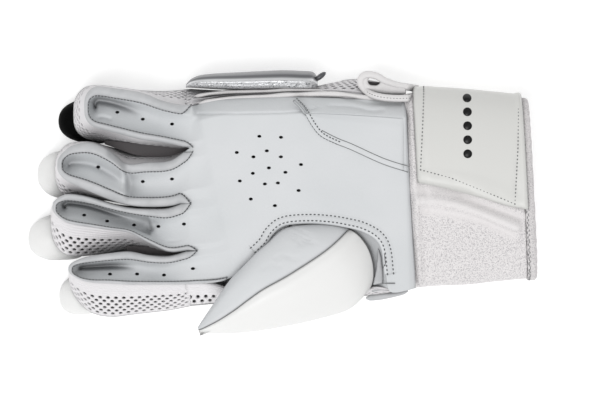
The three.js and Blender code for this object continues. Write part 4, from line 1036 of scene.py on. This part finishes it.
def add_details():
    """The heel patch, the hem of the thumb opening, the wedge and the wrist loop."""
    props = bpy.context.scene.glove
    seam = resample(spot(smooth_line(PATCH_SEAM, 80)), 70)
    crease = read(PALM_ULNAR, seam[:, 0] / PALM_LENGTH)[:, 0] * PALM_WIDTH - TURN_WIDTH - 0.4
    share = np.linspace(0, 1, 50)[None, :]
    y = seam[:, 1:] * (1 - share) + np.maximum(crease[:, None], seam[:, 1:] + 0.2) * share
    x = seam[:, :1] + 0 * share
    wrist = ease(x, 109.2, 113.0)
    z = palm_top(x) + grain(x, y) + 0.9 * ease(share, -0.01, 0.03) - 0.5 * ease(share, 0.8, 1) - 3.0 * wrist**2
    patch = make_object("Heel patch", np.stack([x, y, z], -1), grid_faces(70, 50), "leather")
    turn_up(patch)
    thicken(patch, 1.0)
    place(patch, "palm_leather", "palm_heel_patch")

    def on_palm(line, lift=0.15):
        p = resample(spot(smooth_line(line, 80)), pitch=0.8)
        far = read(PALM_ULNAR, p[:, 0] / PALM_LENGTH)[:, 0] * PALM_WIDTH - p[:, 1]
        turned = TURN_DOWN * np.maximum(0, 1 - far / TURN_WIDTH) ** 1.1
        return np.c_[p, palm_top(p[:, 0]) - turned + grain(p[:, 0], p[:, 1]) + lift]

    low_row, high_row = on_palm(PATCH_SEAM[:5], 0.2), on_palm([(a + 3.0, b - 2.2) for a, b in PATCH_SEAM[:5]], 1.15)
    stitches("Patch stitches", [low_row, high_row], 1.7, 1.0, 0.24)
    lines = [on_palm(PATCH_SEAM[3:], 0.1), on_palm([(a + 1.5, b - 5.4) for a, b in PATCH_SEAM[3:]], 1.0)]
    stitches("Patch edges", lines, 0.8, 1.1, 0.16, "seam")

    places = np.linspace(ARCH_FROM, ARCH_TO, 110) / (len(PALM_RADIAL) - 1)
    path = np.c_[resample(edge(PALM_RADIAL, places), 110), np.zeros(110)]
    wide, stitch_rows = 6.2, (0.10, 0.62)
    rings = []
    shares = np.linspace(0, 1, 16)
    tops = [inset(path, -0.9 + (wide + 1.0) * s) for s in shares]
    for i in range(110):
        ring = []
        for s, top in zip(shares, tops):
            p = top[i].copy()
            p[2] = palm_top(p[0]) + grain(p[0], p[1]) - 0.1
            p[2] += 1.5 * (1 - s) ** 1.2 * min(1, (s / 0.12 + 0.1)) ** 0.5
            for at, deep, narrow in zip(stitch_rows, (0.35, 0.25), (0.06, 0.05)):
                p[2] -= deep * math.exp(-(((s - at) / narrow) ** 2))
            ring.append(p)
        ring += [top[i] + [0, 0, palm_top(top[i][0]) - 0.9] for top in (tops[-1], tops[0])]
        rings.append(ring)
    place(rows_mesh("Thumb arch hem", rings, "leather"), "rim_leather", "thumb_arch_binding")
    rows = []
    for share_of in stitch_rows:
        row = inset(path, 0.1 + wide * share_of)
        row[:, 2] = palm_top(row[:, 0]) + grain(row[:, 0], row[:, 1]) + 1.5 * (1 - share_of) ** 1.2 - 0.15
        rows.append(row)
    bar_tack = spot([(382, 283), (394, 283)])
    stitches("Thumb arch stitches", rows, props.stitch * 1000, 1.15, 0.26)
    stitches("Bar tack", [np.c_[bar_tack, palm_top(bar_tack[:, 0]) + 0.3]], 0.7, 0.9, 0.25, "seam")

    opening = resample(edge(PALM_RADIAL, np.linspace(4.2, 13.9, 90) / (len(PALM_RADIAL) - 1)), 90)
    opening = np.c_[opening, np.zeros(90)]
    facing = []
    for s in np.linspace(0, 1, 16):
        row = inset(opening, 0.8 - 9.0 * s)
        row[:, 2] = palm_top(row[:, 0]) - 1.9 - 7.5 * s**1.2 + 0.5 * ripple(row[:, 0], row[:, 1], 6) * s
        facing.append(row)
    lining = make_object("Thumb opening facing", np.array(facing), grid_faces(16, 90), "leather")
    turn_up(lining)
    place(thicken(lining, 0.9), "palm_leather")

    path = resample(spot(smooth_line(LIP_EDGE)), 80)
    swell = 0.5 + 0.5 * ease(np.minimum(np.arange(80), 79 - np.arange(80)), 0, 8)
    lip = tube("Thumb opening lip", path, palm_top(path[:, 0]) - 5.2, 1.5 * swell, 1.3 * swell, "rim")
    place(lip, "rim_leather")

    # A dark sheet of painted shade under the wrist loop's slit
    rows = np.linspace(0, 1, 12)[:, None]
    columns = np.linspace(0, 1, 20)[None, :]
    x, y = 89 + 22 * columns + 0 * rows, 54 + 8.5 * rows - 2.5 * columns * rows
    lining = np.stack([x, y, 32.6 + 0.6 * np.sin(3 * rows + 5 * columns)], -1)
    shade = make_object("Loop shade sheet", lining, grid_faces(12, 20, flip=True), "inside")
    place(thicken(shade, 0.8), "knit")

    for name, line, drop, radius in (("Side hem", SIDE_HEM, TURN_DOWN + 0.6, 1.3),
                                     ("Side hem under", SIDE_HEM_UNDER, TURN_DOWN + 3.4, 1.0)):
        path = resample(spot(smooth_line(line, 80)), 120)
        wide = radius * (0.3 + 0.7 * ease(np.minimum(np.arange(120), 119 - np.arange(120)), 0, 10))
        level = palm_top(path[:, 0]) - drop + 0.5 * ripple(path[:, 0], path[:, 1], 12)
        place(tube(name, path, level, wide, wide, "hem", uneven=0.2), "knit")

    wedge("Thumb wedge", "thumb_gusset", "rim", 0.0006, 3)
    loop = wedge("Wrist loop", "wrist_loop", "hem", 0.0006, 8)
    path = resample(spot(smooth_line(LOOP_HEM, 120)), 160)
    level = 36 + 5 * ease(-path[:, 1], -58, -53) + 0.8 * ripple(path[:, 0], path[:, 1], 8)
    level -= 7 * ease(path[:, 0], 113, 118)
    hem = tube("Loop hem", path, level, 1.9, 1.5, "hem", across=heading(path)[:, ::-1] * [1, -1])
    place(hem, "knit")
    # Dark sheets of painted shade in the gaps beside the little and middle fingers
    for finger, upper, under in GAP_SHADE_SHEETS:
        upper, under = (resample(spot(smooth_line(line, 40)), 40) for line in (upper, under))
        share = np.linspace(0, 1, 8)[:, None, None]
        plan = upper[None] * (1 - share) + under[None] * share
        shade_sheet = make_object(f"Finger web {finger}", np.concatenate([plan, np.full((8, 40, 1), 33.0)], -1),
                          grid_faces(8, 40), "inside")
        place(thicken(shade_sheet, 0.8), "knit")

    lower = path[95:150]
    stitches("Loop stitches", [np.c_[lower, level[95:150] + 1.5]], 1.6, 0.8, 0.16, "seam", "knit")


def cuff_start(y):
    (x1, y1), (x2, y2) = PALM_ULNAR[-1], PALM_RADIAL[-1]
    share = np.clip((y / PALM_WIDTH - y1) / (y2 - y1), 0, 1)
    return PALM_LENGTH * (x1 + (x2 - x1) * share) + 2 * GAP


def cuff_point(share, step, off):
    """A point of the wrist tube: share along it, step of 24 round it and height off it."""
    ulnar, radial, depth = (np.interp(share, [r[0] for r in CUFF], [r[k] for r in CUFF]) for k in (1, 2, 3))
    ulnar, radial, depth = ulnar * PALM_WIDTH, radial * PALM_WIDTH, depth * CUFF_DEPTH
    angle = 2 * np.pi * step / 24
    soft = lambda v: np.sign(v) * np.abs(v) ** CUFF_ROUND
    y = (ulnar + radial) / 2 + ((ulnar - radial) / 2 + off) * soft(np.cos(angle))
    z = CUFF_CLEARANCE + CUFF_DEPTH / 2 + (depth / 2 + off) * soft(np.sin(angle))
    return np.stack([cuff_start(y) + share * CUFF_LENGTH, y, z], -1)


def cuff_top(plan, off):
    """Lifts plan points onto the top of the wrist tube."""
    x, y = plan[:, 0], plan[:, 1]
    share = np.clip((x - cuff_start(y)) / CUFF_LENGTH, 0, 1)
    ulnar, radial, depth = (np.interp(share, [r[0] for r in CUFF], [r[k] for r in CUFF]) for k in (1, 2, 3))
    half = (ulnar - radial) / 2 * PALM_WIDTH + off
    c = np.clip(np.abs(y - (ulnar + radial) / 2 * PALM_WIDTH) / half, 0, 1) ** (1 / CUFF_ROUND)
    z = CUFF_CLEARANCE + CUFF_DEPTH / 2 + (depth * CUFF_DEPTH / 2 + off) * np.sqrt(1 - c * c) ** CUFF_ROUND
    return np.c_[x, y, z]


def add_cuff():
    shares = np.linspace(-0.08, 1, 94)[:, None]
    steps = np.linspace(0, 24, 321)[:-1][None, :]
    off = 0 * shares * steps
    plan = cuff_point(shares + 0 * steps, steps + 0 * shares, off)
    top = ease(np.sin(2 * np.pi * steps / 24), 0.1, 0.4) + 0 * shares
    smooth = np.zeros(plan.shape[:2])
    for line, deep, wide in CUFF_FOLDS:
        off = off - deep * near(plan[..., 0], plan[..., 1], line, wide) * top
        smooth = np.maximum(smooth, near(plan[..., 0], plan[..., 1], line, 3.2) * top)
    off = off + 0.3 * ripple(plan[..., 0], plan[..., 1] + plan[..., 2], 9)
    off = off + 2.0 * np.exp(-(((shares - 0.03) / 0.035) ** 2)) * top
    points = cuff_point(shares + 0 * steps, steps + 0 * shares, off)
    looped = 1 - 0.85 * np.clip(smooth * 1.6 - 0.5, 0, 1)
    cuff = make_object("Towelling cuff", points, grid_faces(94, 320, flip=True, round_columns=True), "towelling",
                       attributes={"looped": looped})
    turn_from(cuff, points[45].mean(0), 45 * 320)
    thicken(cuff, TOWEL)
    place(cuff, "towelling", "cuff")

    profile = [(0.3, 0.0), (0.8, 0.7), (2.4, 1.0), (4.2, 0.8), (5.2, -0.4), (5.4, -1.8), (4.9, -3.0), (3.4, -3.4),
               (0.3, -3.4)]
    profile = curve(profile, np.linspace(0, 1, 30))
    around_it = np.linspace(0, 24, 201)[:-1]
    rings = []
    for ahead, off_it in profile:
        ring = cuff_point(np.ones(200), around_it, np.full(200, off_it))
        ring[:, 0] += ahead + 0.12 * np.sin(around_it * 9)
        rings.append(ring)
    faces = grid_faces(30, 200, round_rows=True, round_columns=True)
    band = turn_out(make_object("Cuff edge band", np.array(rings), faces, "edging"))
    place(band, "towelling", "cuff_edge_band")
    zigzag = cuff_point(np.ones(240), np.linspace(-6, 18, 240), np.full(240, 0.9))
    zigzag[:, 0] += np.where(np.arange(240) % 2, 0.5, 2.1)
    stitches("Overlock", [resample(zigzag, pitch=0.9)], 1.9, 1.3, 0.2, "seam", "towelling")


def strap_grid(shares, places):
    """Positions on the strap: share along the cuff and place round it from 0 under the hand to 1 at the end."""
    ulnar, radial = (np.interp(shares, [r[0] for r in CUFF], [r[k] for r in CUFF]) * PALM_WIDTH for k in (1, 2))
    y = read(STRAP_END, np.asarray(shares, float))[..., 0]
    across = (y - (ulnar + radial) / 2) / ((ulnar - radial) / 2 + STRAP_CLEARANCE + STRAP)
    end = 24 * np.arccos(np.sign(across) * np.abs(across) ** (1 / CUFF_ROUND)) / (2 * np.pi)
    return STRAP_UNDER + (end - STRAP_UNDER) * places


def add_strap():
    across, round_it = 48, 150
    shares = np.linspace(STRAP_FROM, STRAP_TO, across)[None, :]
    places = np.linspace(0, 1, round_it)[:, None]
    steps = strap_grid(shares, places)
    side = np.minimum(shares - STRAP_FROM, STRAP_TO - shares) * CUFF_LENGTH + 0 * places
    end = (1 - places) * 90 + 0 * shares
    far = np.minimum(side, end)
    plan = cuff_point(shares + 0 * places, steps, 3.0 + 0 * side)
    seam = away(plan[..., 0], plan[..., 1], spot(STRAP_SEAM)) + 9 * (plan[..., 2] < CUFF_CLEARANCE + CUFF_DEPTH / 2)
    off = STRAP_CLEARANCE + STRAP + 0.3 * (1 - ease(far, 1.8, 2.8)) - 0.35 * np.exp(-((seam / 0.5) ** 2))
    off = off + 0.5 * ease(shares, 0.96, 1.0)
    off = off - 0.9 * (1 - ease(far, 0, 1.0)) ** 2
    points = cuff_point(shares + 0 * places, steps, off)
    strap = make_object("Wrist strap", points, grid_faces(round_it, across), "strap")
    turn_from(strap, points.reshape(-1, 3).mean(0), (round_it // 2) * (across - 1) + across // 2)
    thicken(strap, STRAP - 0.3)
    place(strap, "strap_cover", "wrist_strap")

    corners = spot(STRAP_SEAM)
    rows = [resample(corners[k:m], pitch=0.5) for k, m in ((0, 3), (2, 6), (5, 8))]
    stitches("Strap stitches", [cuff_top(row, STRAP_CLEARANCE + STRAP + 0.1) for row in rows], 1.9, 0.85, 0.26, "seam",
             "strap_cover")

    points, faces = [], []
    turn = round_angles(24)
    for py in (98, 112, 126, 140, 154):
        centre = spot([(467, py)])[0]
        start = len(points)
        for radius in (0.02, 2.2, 2.3):
            ring = np.c_[centre[0] + radius * np.cos(turn), centre[1] + radius * np.sin(turn)]
            points += list(cuff_top(ring, STRAP_CLEARANCE + STRAP + (0.16 if radius < 2.25 else 0.0)))
        faces += grid_faces(3, 24, start, round_columns=True)
    dots = make_object("Strap dots", points, faces, "mark")
    place(dots, "black_padding")


# The stage
def add_stage():
    scene = bpy.context.scene
    floor_mesh = bpy.data.meshes.new("Floor")
    size = 3.0
    corners = [(-size, -size, 0), (size, -size, 0), (size, size, 0), (-size, size, 0)]
    floor_mesh.from_pydata(corners, [], [(0, 1, 2, 3)])
    floor = bpy.data.objects.new("Floor", floor_mesh)
    scene.collection.objects.link(floor)
    paper = bpy.data.materials.new("Pale floor")
    paper.use_nodes = True
    shader = paper.node_tree.nodes["Principled BSDF"]
    shader.inputs["Base Color"].default_value = (0.8, 0.8, 0.8, 1)
    shader.inputs["Roughness"].default_value = 0.9
    shader.inputs["Emission Color"].default_value = (1, 1, 1, 1)
    shader.inputs["Emission Strength"].default_value = 0.5
    floor_mesh.materials.append(paper)
    world = scene.world or bpy.data.worlds.new("World")
    scene.world = world
    world.use_nodes = True
    background = world.node_tree.nodes["Background"]
    background.inputs["Color"].default_value = (1, 1, 1, 1)
    background.inputs["Strength"].default_value = 0.46
    for name, where, size, power in (("Key", (-0.2, -0.4, 1.45), 0.7, 11.6), ("Fill", (0.6, 0.5, 1.4), 0.9, 1.5)):
        light = bpy.data.lights.new(name, "AREA")
        light.size, light.energy = size, power
        lamp = bpy.data.objects.new(name, light)
        lamp.location = where
        lamp.rotation_euler = (Vector((0, 0, 0.03)) - Vector(where)).to_track_quat("-Z", "Y").to_euler()
        scene.collection.objects.link(lamp)
    camera = bpy.data.cameras.new("Camera")
    camera.sensor_width = 36
    distance = 2.0
    camera.lens = 36 * distance / (600 * STEP / 1000)
    eye = bpy.data.objects.new("Camera", camera)
    middle = spot([(300, 200)])[0] + SHIFT[:2]
    eye.location = (middle[0] / 1000, middle[1] / 1000, distance + 0.04)
    scene.collection.objects.link(eye)
    scene.camera = eye
    scene.view_settings.view_transform = "Standard"


# The add-on
class GloveSettings(bpy.types.PropertyGroup):
    """Sizes of the glove's fine work."""

    vent: FloatProperty(name="Vent hole", description="Width of a vent hole", default=0.0018, unit="LENGTH")
    knit_pitch: FloatProperty(name="Knit pitch", description="Distance between holes along a wall", default=0.0041,
                              unit="LENGTH")
    stitch: FloatProperty(name="Stitch pitch", description="Distance between stitches", default=0.0021, unit="LENGTH")
    rim_rise: FloatProperty(name="Rim rise", description="Height of the rolled finger rims", default=0.0024,
                            unit="LENGTH")


class GLOVE_OT_leather(bpy.types.Operator):
    """Add the palm leather with its finger troughs and vents"""

    bl_idname = "glove.leather"
    bl_label = "Palm leather"

    def execute(self, context):
        add_leather()
        return {"FINISHED"}


class GLOVE_OT_rims(bpy.types.Operator):
    """Add the rolled rims of the fingers and their stitches"""

    bl_idname = "glove.rims"
    bl_label = "Finger rims"

    def execute(self, context):
        add_rims()
        return {"FINISHED"}


class GLOVE_OT_walls(bpy.types.Operator):
    """Add the open-knit walls of the fingers and the hand"""

    bl_idname = "glove.walls"
    bl_label = "Knit walls"

    def execute(self, context):
        add_walls()
        return {"FINISHED"}


class GLOVE_OT_back(bpy.types.Operator):
    """Add the backing under the padding"""

    bl_idname = "glove.back"
    bl_label = "Back panel"

    def execute(self, context):
        add_back()
        return {"FINISHED"}


class GLOVE_OT_padding(bpy.types.Operator):
    """Add the padded rolls of the fingers and the back of the hand"""

    bl_idname = "glove.padding"
    bl_label = "Padding"

    def execute(self, context):
        add_padding()
        return {"FINISHED"}


class GLOVE_OT_side_bar(bpy.types.Operator):
    """Add the silver bar on the little-finger side"""

    bl_idname = "glove.side_bar"
    bl_label = "Side bar"

    def execute(self, context):
        add_side_bar()
        return {"FINISHED"}


class GLOVE_OT_thumb(bpy.types.Operator):
    """Add the thumb's leather, its pad and the seam between them"""

    bl_idname = "glove.thumb"
    bl_label = "Thumb"

    def execute(self, context):
        add_thumb()
        return {"FINISHED"}


class GLOVE_OT_details(bpy.types.Operator):
    """Add the heel patch, the thumb opening's hem, the wedge and the wrist loop"""

    bl_idname = "glove.details"
    bl_label = "Palm details"

    def execute(self, context):
        add_details()
        return {"FINISHED"}


class GLOVE_OT_cuff(bpy.types.Operator):
    """Add the towelling cuff and its overlocked edge"""

    bl_idname = "glove.cuff"
    bl_label = "Cuff"

    def execute(self, context):
        add_cuff()
        return {"FINISHED"}


class GLOVE_OT_strap(bpy.types.Operator):
    """Add the wrist strap with its stitches"""

    bl_idname = "glove.strap"
    bl_label = "Wrist strap"

    def execute(self, context):
        add_strap()
        return {"FINISHED"}


class GLOVE_OT_stage(bpy.types.Operator):
    """Add the floor, the lights and the camera"""

    bl_idname = "glove.stage"
    bl_label = "Stage"

    def execute(self, context):
        add_stage()
        return {"FINISHED"}


class GLOVE_PT_panel(bpy.types.Panel):
    """Sidebar panel of the glove"""

    bl_idname = "GLOVE_PT_panel"
    bl_label = "Batting glove"
    bl_space_type = "VIEW_3D"
    bl_region_type = "UI"
    bl_category = "Glove"

    def draw(self, context):
        for name in GloveSettings.__annotations__:
            self.layout.prop(context.scene.glove, name)
        for step in STEPS:
            self.layout.operator(step.bl_idname)


STEPS = (GLOVE_OT_stage, GLOVE_OT_leather, GLOVE_OT_rims, GLOVE_OT_walls, GLOVE_OT_back, GLOVE_OT_padding,
         GLOVE_OT_side_bar, GLOVE_OT_thumb, GLOVE_OT_details, GLOVE_OT_cuff, GLOVE_OT_strap)
CLASSES = (GloveSettings, *STEPS, GLOVE_PT_panel)


def register():
    for item in CLASSES:
        bpy.utils.register_class(item)
    bpy.types.Scene.glove = PointerProperty(type=GloveSettings)


def unregister():
    del bpy.types.Scene.glove
    for item in reversed(CLASSES):
        bpy.utils.unregister_class(item)


def main():
    register()
    for step in STEPS:
        group, name = step.bl_idname.split(".")
        if getattr(getattr(bpy.ops, group), name)() != {"FINISHED"}:
            raise RuntimeError(f"{step.bl_label} wasn't finished")


if __name__ == "__main__":
    main()
